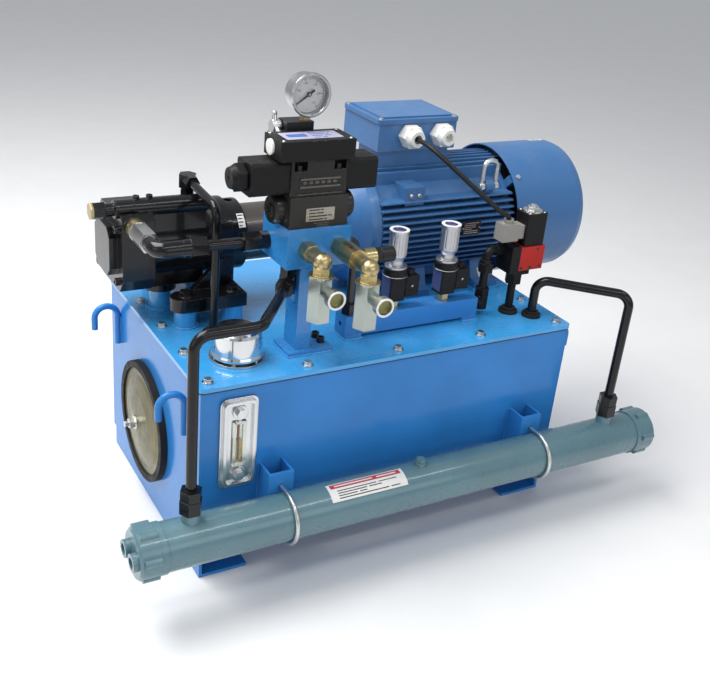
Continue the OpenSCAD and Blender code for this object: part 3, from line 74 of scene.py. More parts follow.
# ---------- camera ----------
def make_camera():
    yaw, pitch, roll = 0.549, 0.4513, 0.097
    look = Vector((math.sin(yaw) * math.cos(pitch), math.cos(yaw) * math.cos(pitch), -math.sin(pitch)))
    side = Vector((math.cos(yaw), -math.sin(yaw), 0))
    up = side.cross(look)
    right = math.cos(roll) * side + math.sin(roll) * up
    top = -math.sin(roll) * side + math.cos(roll) * up
    data = bpy.data.cameras.new("camera")
    data.lens = 50.82
    data.sensor_width = 36
    cam = bpy.data.objects.new("camera", data)
    turn = Matrix((right, top, -look)).transposed()
    cam.matrix_world = Matrix.Translation(mm(-965.4, -1654.2, 1245.9)) @ turn.to_4x4()
    bpy.context.collection.objects.link(cam)
    bpy.context.scene.camera = cam


make_camera()


# ---------- materials ----------
class Tree:
    """A node tree with one Principled shader, and short calls that add nodes to it."""

    def __init__(self, name):
        self.mat = bpy.data.materials.new(name)
        self.mat.use_nodes = True
        self.nodes = self.mat.node_tree.nodes
        self.links = self.mat.node_tree.links
        self.nodes.clear()
        out = self.nodes.new("ShaderNodeOutputMaterial")
        self.shader = self.nodes.new("ShaderNodeBsdfPrincipled")
        self.links.new(self.shader.outputs[0], out.inputs[0])
        self.place = self.nodes.new("ShaderNodeTexCoord").outputs["Object"]
        split = self.nodes.new("ShaderNodeSeparateXYZ")
        self.links.new(self.place, split.inputs[0])
        self.xyz = split.outputs

    def put(self, socket, value):
        if isinstance(value, bpy.types.NodeSocket):
            self.links.new(value, socket)
        else:
            socket.default_value = value

    def set(self, name, value):
        self.put(self.shader.inputs[name], value)

    def math(self, op, a, b=0.0, clamp=False):
        n = self.nodes.new("ShaderNodeMath")
        n.operation = op
        n.use_clamp = clamp
        self.put(n.inputs[0], a)
        self.put(n.inputs[1], b)
        return n.outputs[0]

    def noise(self, scale, detail=3.0, rough=0.55, stretch=None):
        n = self.nodes.new("ShaderNodeTexNoise")
        n.inputs["Scale"].default_value = scale
        n.inputs["Detail"].default_value = detail
        n.inputs["Roughness"].default_value = rough
        place = self.place
        if stretch:
            m = self.nodes.new("ShaderNodeMapping")
            m.inputs["Scale"].default_value = stretch
            self.links.new(place, m.inputs[0])
            place = m.outputs[0]
        self.links.new(place, n.inputs["Vector"])
        return n.outputs["Fac"]

    def ramp(self, value, low, high, a=0.0, b=1.0):
        n = self.nodes.new("ShaderNodeMapRange")
        self.put(n.inputs["Value"], value)
        n.inputs["From Min"].default_value = low
        n.inputs["From Max"].default_value = high
        n.inputs["To Min"].default_value = a
        n.inputs["To Max"].default_value = b
        return n.outputs[0]

    def mix(self, fac, a, b):
        n = self.nodes.new("ShaderNodeMix")
        n.data_type = "RGBA"
        self.put(n.inputs["Factor"], fac)
        for socket, value in ((n.inputs["A"], a), (n.inputs["B"], b)):
            self.put(socket, value if isinstance(value, bpy.types.NodeSocket) else (*value, 1))
        return n.outputs["Result"]

    def mix_value(self, fac, a, b):
        return self.math("ADD", a, self.math("MULTIPLY", fac, self.math("SUBTRACT", b, a)))

    def dark_to_light(self, colour, spread):
        """The colour between a darker and a lighter shade, by a slow noise."""
        slow = self.ramp(self.noise(7.0, 4.0), 0.3, 0.7)
        low = [c * (1 - spread) for c in colour]
        high = [min(1, c * (1 + spread)) for c in colour]
        return self.mix(slow, low, high)

    def edges(self, radius):
        """Rounded normal, and a mask that is 1 along the edges."""
        b = self.nodes.new("ShaderNodeBevel")
        b.samples = 4
        b.inputs["Radius"].default_value = radius * MM
        g = self.nodes.new("ShaderNodeNewGeometry")
        d = self.nodes.new("ShaderNodeVectorMath")
        d.operation = "DOT_PRODUCT"
        self.links.new(b.outputs[0], d.inputs[0])
        self.links.new(g.outputs["Normal"], d.inputs[1])
        return b.outputs[0], self.ramp(d.outputs["Value"], 0.99, 0.85)

    def bump(self, height, strength, distance, normal):
        n = self.nodes.new("ShaderNodeBump")
        n.inputs["Strength"].default_value = strength
        n.inputs["Distance"].default_value = distance * MM
        self.links.new(height, n.inputs["Height"])
        self.links.new(normal, n.inputs["Normal"])
        return n.outputs[0]

    def facing_up(self):
        """1 where the surface faces up, 0 where it is steeper than 60 degrees."""
        g = self.nodes.new("ShaderNodeNewGeometry")
        s = self.nodes.new("ShaderNodeSeparateXYZ")
        self.links.new(g.outputs["Normal"], s.inputs[0])
        return self.ramp(s.outputs[2], 0.5, 1.0)

    # masks by place, in millimetres
    def inside(self, axis, low, high):
        v = self.xyz[axis]
        over = self.math("GREATER_THAN", v, low * MM)
        return self.math("MULTIPLY", over, self.math("LESS_THAN", v, high * MM))

    def near(self, points, axis, radius, low=-FAR, high=FAR):
        """1 within radius of a line along the axis through any of the points."""
        u, v = [i for i in range(3) if i != axis]
        total = 0.0
        for p in points:
            du = self.math("SUBTRACT", self.xyz[u], p[u])
            dv = self.math("SUBTRACT", self.xyz[v], p[v])
            squares = self.math("ADD", self.math("MULTIPLY", du, du), self.math("MULTIPLY", dv, dv))
            close = self.math("LESS_THAN", self.math("SQRT", squares), radius * MM)
            total = self.math("MAXIMUM", total, close)
        return self.math("MULTIPLY", total, self.inside(axis, low, high))

    def away(self, point, axis, radius):
        """1 further than radius from a line along the axis."""
        return self.math("SUBTRACT", 1.0, self.near([point], axis, radius))


# finish: colour, roughness, metallic
ZINC = ((0.60, 0.61, 0.60), 0.30, 1.0)
STEEL = ((0.52, 0.52, 0.52), 0.28, 1.0)
YELLOW_ZINC = ((0.53, 0.43, 0.22), 0.30, 1.0)
GREEN_ZINC = ((0.40, 0.44, 0.41), 0.30, 1.0)
BLACK_OXIDE = ((0.009, 0.009, 0.010), 0.38, 0.3)
BLACK_PAINT = ((0.005, 0.005, 0.006), 0.20, 0.0)
BLACK_PLASTIC = ((0.0045, 0.0045, 0.005), 0.45, 0.0)
WHITE_PLASTIC = ((0.74, 0.74, 0.71), 0.42, 0.0)
GREY_PLASTIC = ((0.26, 0.25, 0.23), 0.30, 0.0)
RED_ANODISED = ((0.48, 0.025, 0.020), 0.32, 0.25)
TANK_BLUE = ((0.028, 0.205, 0.560), 0.20, 0.0)
LID_BLUE = ((0.040, 0.330, 0.720), 0.22, 0.0)
BLOCK_BLUE = ((0.032, 0.240, 0.600), 0.24, 0.0)
MOTOR_BLUE = ((0.035, 0.135, 0.330), 0.38, 0.0)
TEAL = ((0.085, 0.180, 0.215), 0.30, 0.0)
DUST = (0.36, 0.34, 0.31)


def surface(name, finish, coat=0.0, grain=900.0, relief=0.15, depth=0.2, spread=0.10, worn=0.35,
            bare=(0.45, 0.45, 0.45), radius=1.2, dust=0.10, brushed=None, zones=(), specular=0.5):
    """One finish with shade changes, fine relief, worn edges and a little dust, and zones of other finishes.
    A zone is (mask from the tree, finish). Black finishes shine less and show less dust."""
    t = Tree(name)
    colour, rough, metal = finish
    if max(colour) < 0.05:
        dust *= 0.2
        specular = 0.25
    base = t.dark_to_light(colour, spread)
    roughness = t.ramp(t.noise(60.0, 4.0), 0.3, 0.7, rough * 0.8, min(1, rough * 1.25))
    metallic = metal
    for mask, (c, r, m) in [(build(t), f) for build, f in zones]:
        base = t.mix(mask, base, t.dark_to_light(c, spread))
        roughness = t.mix_value(mask, roughness, r)
        metallic = t.mix_value(mask, metallic, m)
    normal, edge = t.edges(radius)
    chips = t.math("MULTIPLY", edge, t.ramp(t.noise(140.0, 5.0, 0.7), 0.52, 0.68))
    base = t.mix(t.math("MULTIPLY", chips, worn), base, bare)
    film = t.math("MULTIPLY", t.facing_up(), t.ramp(t.noise(18.0, 6.0, 0.7), 0.42, 0.75))
    base = t.mix(t.math("MULTIPLY", film, dust, clamp=True), base, DUST)
    roughness = t.math("ADD", roughness, t.math("MULTIPLY", film, dust), clamp=True)
    t.set("Base Color", base)
    t.set("Roughness", roughness)
    t.set("Metallic", metallic)
    t.set("Specular IOR Level", specular)
    t.set("Coat Weight", coat)
    t.set("Coat Roughness", 0.08)
    t.set("Normal", t.bump(t.noise(grain, 2.0, 0.5, brushed), relief, depth, normal))
    return t.mat


def window_glass(name, tint, rough):
    t = Tree(name)
    t.set("Base Color", t.dark_to_light(tint, 0.05))
    t.set("Roughness", t.ramp(t.noise(90.0), 0.3, 0.7, rough, rough + 0.06))
    t.set("Transmission Weight", 1.0)
    t.set("IOR", 1.46)
    return t.mat


def dress(material, *nodes):
    for node in nodes:
        o = NODES[node]
        if not o.material_slots:
            o.data.materials.append(material)
        for s in o.material_slots:
            s.material = material


# ---------- the finish of each CAD node ----------
def paint_tank():
    """Returns the paints of the tank and the lid, which their weld beads share."""
    tank = surface("tank_blue", TANK_BLUE, coat=0.12, grain=260, relief=0.10, worn=0.30, dust=0.06,
                   specular=0.25)
    dress(tank, "tank_shell", "tank_feet", "lifting_hooks")
    lid = surface("lid_blue", LID_BLUE, coat=0.6, grain=260, relief=0.10)
    dress(lid, "tank_lid")
    rubber = ((0.016, 0.016, 0.016), 0.62, 0.0)
    dress(surface("nitrile_rubber", rubber, grain=700, relief=0.3, worn=0.1, bare=(0.05, 0.05, 0.05)),
          "lid_gasket", "cleanout_seal", "lid_grommets")
    dress(surface("bright_zinc", ZINC, grain=1400, relief=0.12, spread=0.12, worn=0.2, bare=(0.3, 0.3, 0.3)),
          "lid_bolts", "cleanout_bolt", "cooler_ubolts", "breather_base", "isolator_lever", "lifting_link")
    chrome = ((0.66, 0.67, 0.68), 0.16, 1.0)
    dress(surface("gauge_frame_chrome", chrome, grain=800, relief=0.05, spread=0.08, worn=0.1),
          "level_gauge_frame")
    dress(window_glass("sight_window", (0.93, 0.96, 0.90), 0.03), "level_gauge_window")
    passivated = ((0.17, 0.155, 0.085), 0.34, 0.75)
    dress(surface("yellow_passivated", passivated, grain=500, relief=0.12, spread=0.45, worn=0.2,
                  bare=(0.4, 0.36, 0.25)), "cleanout_cover")
    pressed = ((0.72, 0.73, 0.74), 0.12, 1.0)
    dress(surface("pressed_chrome", pressed, grain=500, relief=0.04, spread=0.08, worn=0.1, dust=0.06),
          "breather_cap")
    return tank, lid


def paint_cooler_and_lines():
    dress(surface("cooler_teal", TEAL, coat=0.5, grain=330, relief=0.16, worn=0.45, bare=(0.32, 0.36, 0.37)),
          "cooler_shell", "cooler_caps")
    dress(surface("copper_tubes", ((0.50, 0.20, 0.10), 0.35, 1.0), spread=0.2), "cooler_tubes")
    dress(surface("black_pipe", BLACK_PAINT, coat=0.2, grain=500, relief=0.10, worn=0.55, dust=0.08),
          "return_line", "tank_line", "drain_line")
    elbow, swivel = -10.8, -69.2
    dress(surface("pressure_line_finish", BLACK_PAINT, coat=0.3, grain=600, relief=0.12, worn=0.5, zones=[
        (lambda t: t.inside(ALONG_Y, elbow, FAR), YELLOW_ZINC),
        (lambda t: t.inside(ALONG_Y, swivel, elbow), ZINC)]), "pressure_line")
    strainer_top = 228
    dress(surface("suction_finish", LID_BLUE, coat=0.5, grain=260, relief=0.10, zones=[
        (lambda t: t.inside(ALONG_Z, -FAR, strainer_top), STEEL)]), "suction_pipe")
    dress(surface("unload_line_finish", BLACK_OXIDE, grain=600, relief=0.12, worn=0.5), "unload_line")


def paint_motor():
    casting = dict(radius=2.5, coat=0.12, grain=420, relief=0.22, depth=0.3, spread=0.12, worn=0.30,
                   dust=0.12)
    foot_bolts = [mm(x, SHAFT_Y + s * 108, 0) for x in (160, 338) for s in (-1, 1)]
    dress(surface("motor_casting", MOTOR_BLUE, zones=[
        (lambda t: t.near(foot_bolts, ALONG_Z, 12.2, 427.6, 450), ZINC)], **casting), "motor_frame")
    turns = [math.radians(a) for a in range(15, 375, 60)]
    shield_bolts = [mm(0, SHAFT_Y + 84 * math.sin(a), SHAFT_Z - 84 * math.cos(a)) for a in turns]
    dress(surface("shield_casting", MOTOR_BLUE, zones=[
        (lambda t: t.near(shield_bolts, ALONG_X, 5.3, -FAR, 2), ZINC)], **casting), "motor_shield")
    cowl_r = 145.25
    dress(surface("cowl_sheet", MOTOR_BLUE, coat=0.2, grain=240, relief=0.08, spread=0.06, worn=0.2, zones=[
        (lambda t: t.away(mm(0, SHAFT_Y, SHAFT_Z), ALONG_X, cowl_r), ZINC)]), "fan_cowl")
    box = dict(coat=0.25, grain=300, relief=0.12, spread=0.08, dust=0.14)
    dress(surface("terminal_box_paint", MOTOR_BLUE, **box), "terminal_box")
    corners = [mm(x, y, 0) for x in (84, 261) for y in (43, 177)]
    dress(surface("terminal_lid_paint", MOTOR_BLUE, zones=[
        (lambda t: t.near(corners, ALONG_Z, 4.7, 771.9, FAR), ZINC)], **box), "terminal_box_lid")
    dress(surface("white_nylon", WHITE_PLASTIC, grain=700, relief=0.10, spread=0.05, worn=0.1),
          "cable_glands")
    dress(surface("fan_plastic", BLACK_PLASTIC), "cooling_fan")
    dress(surface("stator_laminations", ((0.16, 0.13, 0.11), 0.5, 0.4), grain=200, relief=0.3,
                  brushed=(20, 1, 1)), "stator_core")


def paint_pump_and_coupling():
    casting = dict(radius=4, coat=0.35, grain=380, relief=0.45, depth=0.5, spread=0.2, worn=0.45,
                   bare=(0.22, 0.22, 0.22))
    dress(surface("pump_casting", BLACK_PAINT, **casting), "pump_body", "pump_bracket")
    dress(surface("coupling_tube_finish", ((0.085, 0.074, 0.068), 0.33, 0.6), **casting), "coupling_tube")
    adjuster = -500.5
    dress(surface("compensator_casting", BLACK_PAINT, zones=[
        (lambda t: t.inside(ALONG_X, -FAR, adjuster), YELLOW_ZINC)], **casting), "pump_compensator")
    dress(surface("cast_aluminium", ((0.46, 0.47, 0.48), 0.42, 1.0), grain=400, relief=0.3),
          "coupling_motor", "coupling_pump")
    dress(surface("polyurethane", ((0.42, 0.03, 0.02), 0.5, 0.0), relief=0.1), "coupling_spider")
    dress(surface("ground_steel", STEEL, grain=300, brushed=(1, 12, 12)),
          "rotor_shaft", "pump_shaft", "valve_spool")


def paint_valves():
    dress(surface("manifold_blue", BLOCK_BLUE, coat=0.5, grain=260, relief=0.10), "manifold_block")
    stand_screws = [mm(-135, y, 0) for y in (-172, -150)]
    dress(surface("stand_blue", BLOCK_BLUE, coat=0.5, grain=260, relief=0.10, zones=[
        (lambda t: t.near(stand_screws, ALONG_Z, 8.2, 412.5, 430), BLACK_OXIDE)]), "manifold_stand")
    casting = dict(radius=3, coat=0.2, grain=500, relief=0.35, depth=0.3, spread=0.18, worn=0.55,
                   bare=(0.26, 0.25, 0.22), dust=0.12)
    dress(surface("modular_valve_finish", ((0.030, 0.029, 0.027), 0.35, 0.35), **casting), "modular_valve")
    # the front faces of the ribs get a lighter grey, a painted highlight along the ribs
    rib_front, rib_painted_highlight = -185.2, ((0.13, 0.12, 0.10), 0.38, 0.4)
    dress(surface("valve_body_finish", ((0.016, 0.015, 0.014), 0.34, 0.2), zones=[
        (lambda t: t.inside(ALONG_Y, -FAR, rib_front), rib_painted_highlight)], **casting), "valve_body")
    dress(surface("solenoid_moulding", BLACK_PLASTIC, radius=3, grain=700, relief=0.22, spread=0.12,
                  worn=0.25), "solenoids")
    plug_face = -246.3
    dress(surface("wiring_box_moulding", BLACK_PLASTIC, radius=4, grain=700, relief=0.2, zones=[
        (lambda t: t.inside(ALONG_X, -FAR, plug_face), WHITE_PLASTIC)]), "wiring_box")
    elbow_bottom, tee_end = 588.2, -84.3
    dress(surface("outlet_finish", YELLOW_ZINC, relief=0.14, spread=0.16, worn=0.3, zones=[
        (lambda t: t.inside(ALONG_Z, 0, elbow_bottom), GREEN_ZINC),
        (lambda t: t.inside(ALONG_X, tee_end, FAR), BLACK_OXIDE)]), "outlet_fittings")


def paint_gauge():
    block_top = 818.1
    dress(surface("gauge_riser_finish", YELLOW_ZINC, relief=0.12, zones=[
        (lambda t: t.inside(ALONG_Z, 0, block_top), BLACK_OXIDE)]), "gauge_riser")
    stainless = ((0.55, 0.56, 0.57), 0.22, 1.0)
    dress(surface("stainless_case", stainless, grain=500, relief=0.08, spread=0.06), "gauge_case")
    dress(surface("needle_black", BLACK_PAINT, relief=0.05), "gauge_needle")


def paint_header():
    """The header block with the pressure switches, and the unloading valve."""
    channel_top, switch_bottom = 451.2, 468.7
    dress(surface("header_finish", TANK_BLUE, coat=0.5, grain=260, relief=0.1, zones=[
        (lambda t: t.inside(ALONG_Z, channel_top, FAR), BLACK_OXIDE)]), "header_block")
    dress(surface("switch_moulding", BLACK_PLASTIC, grain=700, relief=0.18, zones=[
        (lambda t: t.inside(ALONG_Z, 0, switch_bottom), YELLOW_ZINC)]), "switch_bodies")
    dress(surface("turned_aluminium", ((0.52, 0.52, 0.54), 0.36, 1.0), grain=500, relief=0.12,
                  brushed=(1, 1, 9)), "switch_knob_left", "switch_knob_right")

    def red_block(t):
        return t.math("MULTIPLY", t.inside(ALONG_X, 308.1, FAR), t.inside(ALONG_Z, 507.2, 558.5))

    def plug(t):
        return t.math("MULTIPLY", t.inside(ALONG_X, 0, 314.9), t.inside(ALONG_Z, 566.5, FAR))

    def coil_nut(t):
        return t.inside(ALONG_Z, 626.1, FAR)

    dress(surface("unload_valve_finish", BLACK_PLASTIC, grain=600, relief=0.2, zones=[
        (red_block, RED_ANODISED), (plug, GREY_PLASTIC), (coil_nut, ZINC)]), "unload_valve")


TANK_PAINT, LID_PAINT = paint_tank()
paint_cooler_and_lines()
paint_motor()
paint_pump_and_coupling()
paint_valves()
paint_gauge()
paint_header()


# ---------- shapes, in millimetres about a place ----------
def piece(name, bm, material, body="unit", smooth=None):
    mesh = bpy.data.meshes.new(name)
    bmesh.ops.recalc_face_normals(bm, faces=bm.faces)
    bm.to_mesh(mesh)
    bm.free()
    mesh.materials.append(material)
    o = bpy.data.objects.new(name, mesh)
    bpy.context.collection.objects.link(o)
    if smooth:
        for p in mesh.polygons:
            p.use_smooth = True
        mesh.set_sharp_from_angle(angle=math.radians(smooth))
    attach(o, body)


def rounded(w, h, r, steps=5):
    """Corner points of a rounded rectangle."""
    pts = []
    for cx, cy, start in ((1, 1, 0), (-1, 1, 90), (-1, -1, 180), (1, -1, 270)):
        for i in range(steps + 1):
            a = math.radians(start + 90 * i / steps)
            pts.append((cx * (w / 2 - r) + r * math.cos(a), cy * (h / 2 - r) + r * math.sin(a)))
    return pts


def add_prism(bm, outline, thick, place, basis, soften=0.0):
    """A prism with softened upper edges, standing on place along the basis normal."""
    levels = [(0.0, 0.0), (thick - soften, 0.0), (thick, soften)] if soften else [(0.0, 0.0), (thick, 0.0)]
    rings = []
    for z, inset in levels:
        shrink = [(x, y, 1 - inset / math.hypot(x, y)) for x, y in outline]
        rings.append([bm.verts.new(place + basis @ mm(x * k, y * k, z)) for x, y, k in shrink])
    n = len(outline)
    for a, b in zip(rings, rings[1:]):
        for i in range(n):
            j = (i + 1) % n
            bm.faces.new((a[i], a[j], b[j], b[i]))
    bm.faces.new(rings[-1])
    bm.faces.new(list(reversed(rings[0])))


def lathe(bm, profile, place, basis, steps, closed=True):
    """Turns (radius, height) points about the basis normal. A closed profile is a ring."""
    turns = [2 * math.pi * i / steps for i in range(steps)]
    rings = []
    for r, z in profile:
        points = [(r * math.cos(a), r * math.sin(a), z) for a in turns] if r else [(0, 0, z)]
        rings.append([bm.verts.new(place + basis @ mm(*p)) for p in points])
    pairs = list(zip(rings, rings[1:]))
    if closed:
        pairs.append((rings[-1], rings[0]))
    for a, b in pairs:
        for i in range(steps):
            j = (i + 1) % steps
            if len(a) == 1:
                bm.faces.new((a[0], b[j], b[i]))
            elif len(b) == 1:
                bm.faces.new((a[i], a[j], b[0]))
            else:
                bm.faces.new((a[i], a[j], b[j], b[i]))


def sweep(bm, points, radius, sides=10, ripple=0.0):
    """A round rod through the points with closed ends; a weld bead has ripples."""
    pitch = 3.5 * MM
    turns = [2 * math.pi * k / sides for k in range(sides)]
    rings = []
    run = 0.0
    for i, p in enumerate(points):
        head = (points[min(i + 1, len(points) - 1)] - points[max(i - 1, 0)]).normalized()
        if i:
            run += (p - points[i - 1]).length
        side = head.cross(Z if abs(head.z) < 0.9 else X).normalized()
        up = side.cross(head)
        r = radius * MM * (1 + ripple * math.sin(2 * math.pi * run / pitch))
        rings.append([bm.verts.new(p + r * (math.cos(a) * side + math.sin(a) * up)) for a in turns])
    for a, b in zip(rings, rings[1:]):
        for i in range(sides):
            j = (i + 1) % sides
            bm.faces.new((a[i], a[j], b[j], b[i]))
    bm.faces.new(list(reversed(rings[0])))
    bm.faces.new(rings[-1])


# ---------- cable of the unloading valve ----------
CABLE_D = 0.010
CABLE = [mm(*p) for p in (
    (150, 11.8, 738), (150, -12, 738), (150, -22, 738), (150, -34, 737), (151, -46, 735),
    (154, -58, 731), (159, -71, 725), (166, -84, 717), (175, -97, 707), (186, -110, 696),
    (199, -122, 683), (213, -133, 670), (228, -142, 657), (242, -149, 645),
    (254, -154, 635), (264, -157, 628), (273, -159, 624), (279, -159, 620), (282, -159, 614))]


def make_cable():
    data = bpy.data.curves.new("valve_cable_sheath", "CURVE")
    data.dimensions = "3D"
    data.bevel_depth = CABLE_D / 2
    data.bevel_resolution = 5
    data.resolution_u = 6
    data.use_fill_caps = True
    line = data.splines.new("BEZIER")
    line.bezier_points.add(len(CABLE) - 1)
    for b, p in zip(line.bezier_points, CABLE):
        b.co = p
        b.handle_left_type = b.handle_right_type = "AUTO"
    data.materials.append(surface("cable_sheath", ((0.014, 0.014, 0.015), 0.45, 0.0), grain=500, worn=0.05))
    o = bpy.data.objects.new("valve_cable_sheath", data)
    bpy.context.collection.objects.link(o)
    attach(o, "unit")
    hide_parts("valve_cable")


make_cable()


# ---------- labels and plates ----------
PRINT = dict(grain=900, relief=0.05, spread=0.06)
LABEL = dict(grain=900, relief=0.05, worn=0.1)
PLATE = dict(grain=900, relief=0.06, spread=0.08)
LILAC_LABEL = surface("label_lilac", ((0.52, 0.50, 0.66), 0.30, 0.3), spread=0.05, **LABEL)
WHITE_LABEL = surface("label_white", ((0.74, 0.73, 0.70), 0.45, 0.0), spread=0.04, **LABEL)
BLUE_PRINT = surface("print_blue", ((0.03, 0.12, 0.40), 0.45, 0.0), **PRINT)
RED_PRINT = surface("print_red", ((0.48, 0.04, 0.05), 0.45, 0.0), **PRINT)
DARK_PRINT = surface("print_dark", ((0.03, 0.03, 0.035), 0.45, 0.0), **PRINT)
BLUE_PLATE = surface("plate_blue", ((0.03, 0.20, 0.42), 0.35, 0.3), **PLATE)
BLACK_PLATE = surface("plate_black", ((0.015, 0.015, 0.017), 0.35, 0.2), **PLATE)
ETCHED = surface("etched_plate", ((0.42, 0.40, 0.34), 0.35, 0.85), relief=0.08, brushed=(8, 1, 1))
BRIGHT = surface("plate_bright", ((0.62, 0.62, 0.60), 0.30, 1.0), relief=0.08)


def rules(seed, lines, top=0.86, left=0.10):
    """Rows of two bars each, whose lengths change from row to row: (height, thickness, spans) in 0 to 1."""
    bottom, right, gap = 0.14, 0.90, 0.03
    pitch = (top - bottom) / (lines - 1)
    rows = []
    for i in range(lines):
        cut = left + (right - left) * (0.30 + 0.17 * ((i * 7 + seed * 3) % 4))
        end = min(right, cut + gap + (right - left) * (0.12 + 0.09 * ((i * 5 + seed) % 3)))
        rows.append((top - i * pitch, 0.38 * pitch, [(left, cut), (cut + gap, max(cut + 2 * gap, end))]))
    return rows


def label(name, centre, basis, size, plate, ink, rows, body="unit", rivets=False, thick=0.6):
    """A plate with raised plain bars in rows."""
    w, h = size
    bm = bmesh.new()
    add_prism(bm, rounded(w, h, min(w, h) * 0.08), thick, mm(*centre), basis, 0.12)
    piece(name, bm, plate, body)
    bm = bmesh.new()
    top = mm(*centre) + basis @ mm(0, 0, thick)
    for y, part, spans in rows:
        for x0, x1 in spans:
            place = top + basis @ mm(((x0 + x1) / 2 - 0.5) * w, (y - 0.5) * h, -0.05)
            add_prism(bm, rounded((x1 - x0) * w, part * h, 0.2 * part * h, 2), 0.12, place, basis)
    piece(name + "_rules", bm, ink, body)
    if rivets:
        bm = bmesh.new()
        head = [(0, 0.9), (0.8, 0.75), (1.4, 0.2), (1.5, -0.1), (0, -0.1)]
        for side in (-1, 1):
            lathe(bm, head, top + basis @ mm(side * (w / 2 - 2.6), 0, 0), basis, 16, closed=False)
        piece(name + "_rivets", bm, BRIGHT, body, smooth=40)


def wrapped_label(name, axis_point, radius, span, arc, plate, ink, rows):
    """A label bent round a tube along X. The arc is in degrees from the front, upwards."""
    x0, x1 = span
    a0, a1 = arc
    nx, na = 4, 10

    def at(x, a, r):
        t = math.radians(a)
        return mm(x, axis_point[0] - r * math.cos(t), axis_point[1] + r * math.sin(t))

    def add_sheet(bm, xa, xb, aa, ab, r0, r1):
        grid = {}
        for k, r in enumerate((r0, r1)):
            for i in range(nx + 1):
                for j in range(na + 1):
                    grid[k, i, j] = bm.verts.new(at(xa + (xb - xa) * i / nx, aa + (ab - aa) * j / na, r))
        for i in range(nx):
            for j in range(na):
                bm.faces.new((grid[1, i, j], grid[1, i + 1, j], grid[1, i + 1, j + 1], grid[1, i, j + 1]))
                bm.faces.new((grid[0, i, j], grid[0, i, j + 1], grid[0, i + 1, j + 1], grid[0, i + 1, j]))
        for i in range(nx):
            for j in (0, na):
                bm.faces.new((grid[0, i, j], grid[0, i + 1, j], grid[1, i + 1, j], grid[1, i, j]))
        for j in range(na):
            for i in (0, nx):
                bm.faces.new((grid[0, i, j], grid[0, i, j + 1], grid[1, i, j + 1], grid[1, i, j]))

    bm = bmesh.new()
    add_sheet(bm, x0, x1, a0, a1, radius - 0.1, radius + 0.3)
    piece(name, bm, plate, smooth=40)
    bm = bmesh.new()
    for y, part, spans in rows:
        middle, half = a0 + (a1 - a0) * y, (a1 - a0) * part / 2
        for u0, u1 in spans:
            add_sheet(bm, x0 + (x1 - x0) * u0, x0 + (x1 - x0) * u1, middle - half, middle + half,
                      radius + 0.25, radius + 0.4)
    piece(name + "_rules", bm, ink, smooth=40)


def make_labels():
    label("motor_nameplate", (278, -46.2, 555), FRONT, (46, 30), BLACK_PLATE, BRIGHT, rules(1, 6),
          rivets=True)
    label("pump_nameplate", (-346, 108, 619), TOP, (60, 30), BLUE_PLATE, BRIGHT, rules(2, 5),
          rivets=True)
    label("valve_nameplate", (-163, -186, 673), FRONT, (56, 24), ETCHED, DARK_PRINT, rules(3, 4),
          rivets=True)
    label("wiring_box_label", (-175, -153, WIRING_BOX_TOP), TOP, (108, 42), LILAC_LABEL, BLUE_PRINT,
          [(0.5, 0.42, [(0.08, 0.42)])] + rules(1, 4, left=0.5))
    label("breather_label", (-301, -166, 456), TOP, (44, 22), WHITE_LABEL, DARK_PRINT, rules(2, 4),
          body="filler_cap", thick=1.3)


def make_wrapped_labels():
    cooler, shaft = (COOLER_Y, COOLER_Z), (SHAFT_Y, SHAFT_Z)
    wrapped_label("cooler_label", cooler, 44.55, (-188, -26), (42, 92), WHITE_LABEL, DARK_PRINT,
                  rules(2, 4, top=0.52))
    wrapped_label("cooler_label_band", cooler, 44.75, (-182, -32), (76, 89), RED_PRINT, WHITE_LABEL,
                  [(0.5, 0.3, [(0.06, 0.60), (0.66, 0.94)])])
    wrapped_label("cowl_label", shaft, 145, (528, 562), (96, 114), WHITE_LABEL, DARK_PRINT, rules(1, 3))
    wrapped_label("hub_label", shaft, 70, (-222, -208), (28, 52), WHITE_LABEL, DARK_PRINT, rules(1, 4))


make_labels()
make_wrapped_labels()


# ---------- pressure gauge ----------
# the centre of the case's back, the heights of the dial's faces above it, and the scale's angles
GAUGE = mm(-160, -96, 864)
DIAL = 8.0
DIAL_TOP = DIAL + 0.7
DIAL_ZERO, DIAL_SWEEP = 216, 270


def make_dial():
    enamel = surface("dial_enamel", ((0.93, 0.92, 0.92), 0.40, 0.0), grain=600, relief=0.03, spread=0.02,
                     worn=0)
    bm = bmesh.new()
    lathe(bm, [(2.2, DIAL), (32.1, DIAL), (32.1, DIAL_TOP), (2.2, DIAL_TOP)], GAUGE, FRONT, 64)
    piece("gauge_dial", bm, enamel)


def make_scale():
    """Ticks and the arc that joins them, just proud of the dial."""
    bm = bmesh.new()
    ticks, arc_steps = 50, 90
    for i in range(ticks + 1):
        a = math.radians(DIAL_ZERO - DIAL_SWEEP * i / ticks)
        if i % 10 == 0:
            length, width = 6.2, 1.0
        else:
            length, width = 3.0 if i % 5 else 4.6, 0.5
        r = 29.5 - length / 2
        place = GAUGE + FRONT @ mm(r * math.cos(a), r * math.sin(a), DIAL_TOP - 0.05)
        tick = FRONT @ Matrix.Rotation(a, 3, "Z")
        add_prism(bm, rounded(length, width, 0.1, 1), 0.12, place, tick)
    for k in range(arc_steps):
        a0, a1 = (math.radians(DIAL_ZERO - DIAL_SWEEP * (k + d) / arc_steps) for d in (0, 1))
        corners = ((29.6, a0), (30.1, a0), (30.1, a1), (29.6, a1))
        ring = [(r * math.cos(a), r * math.sin(a)) for r, a in corners]
        add_prism(bm, ring, 0.12, GAUGE + FRONT @ mm(0, 0, DIAL_TOP - 0.04), FRONT)
    piece("gauge_scale", bm, DARK_PRINT)


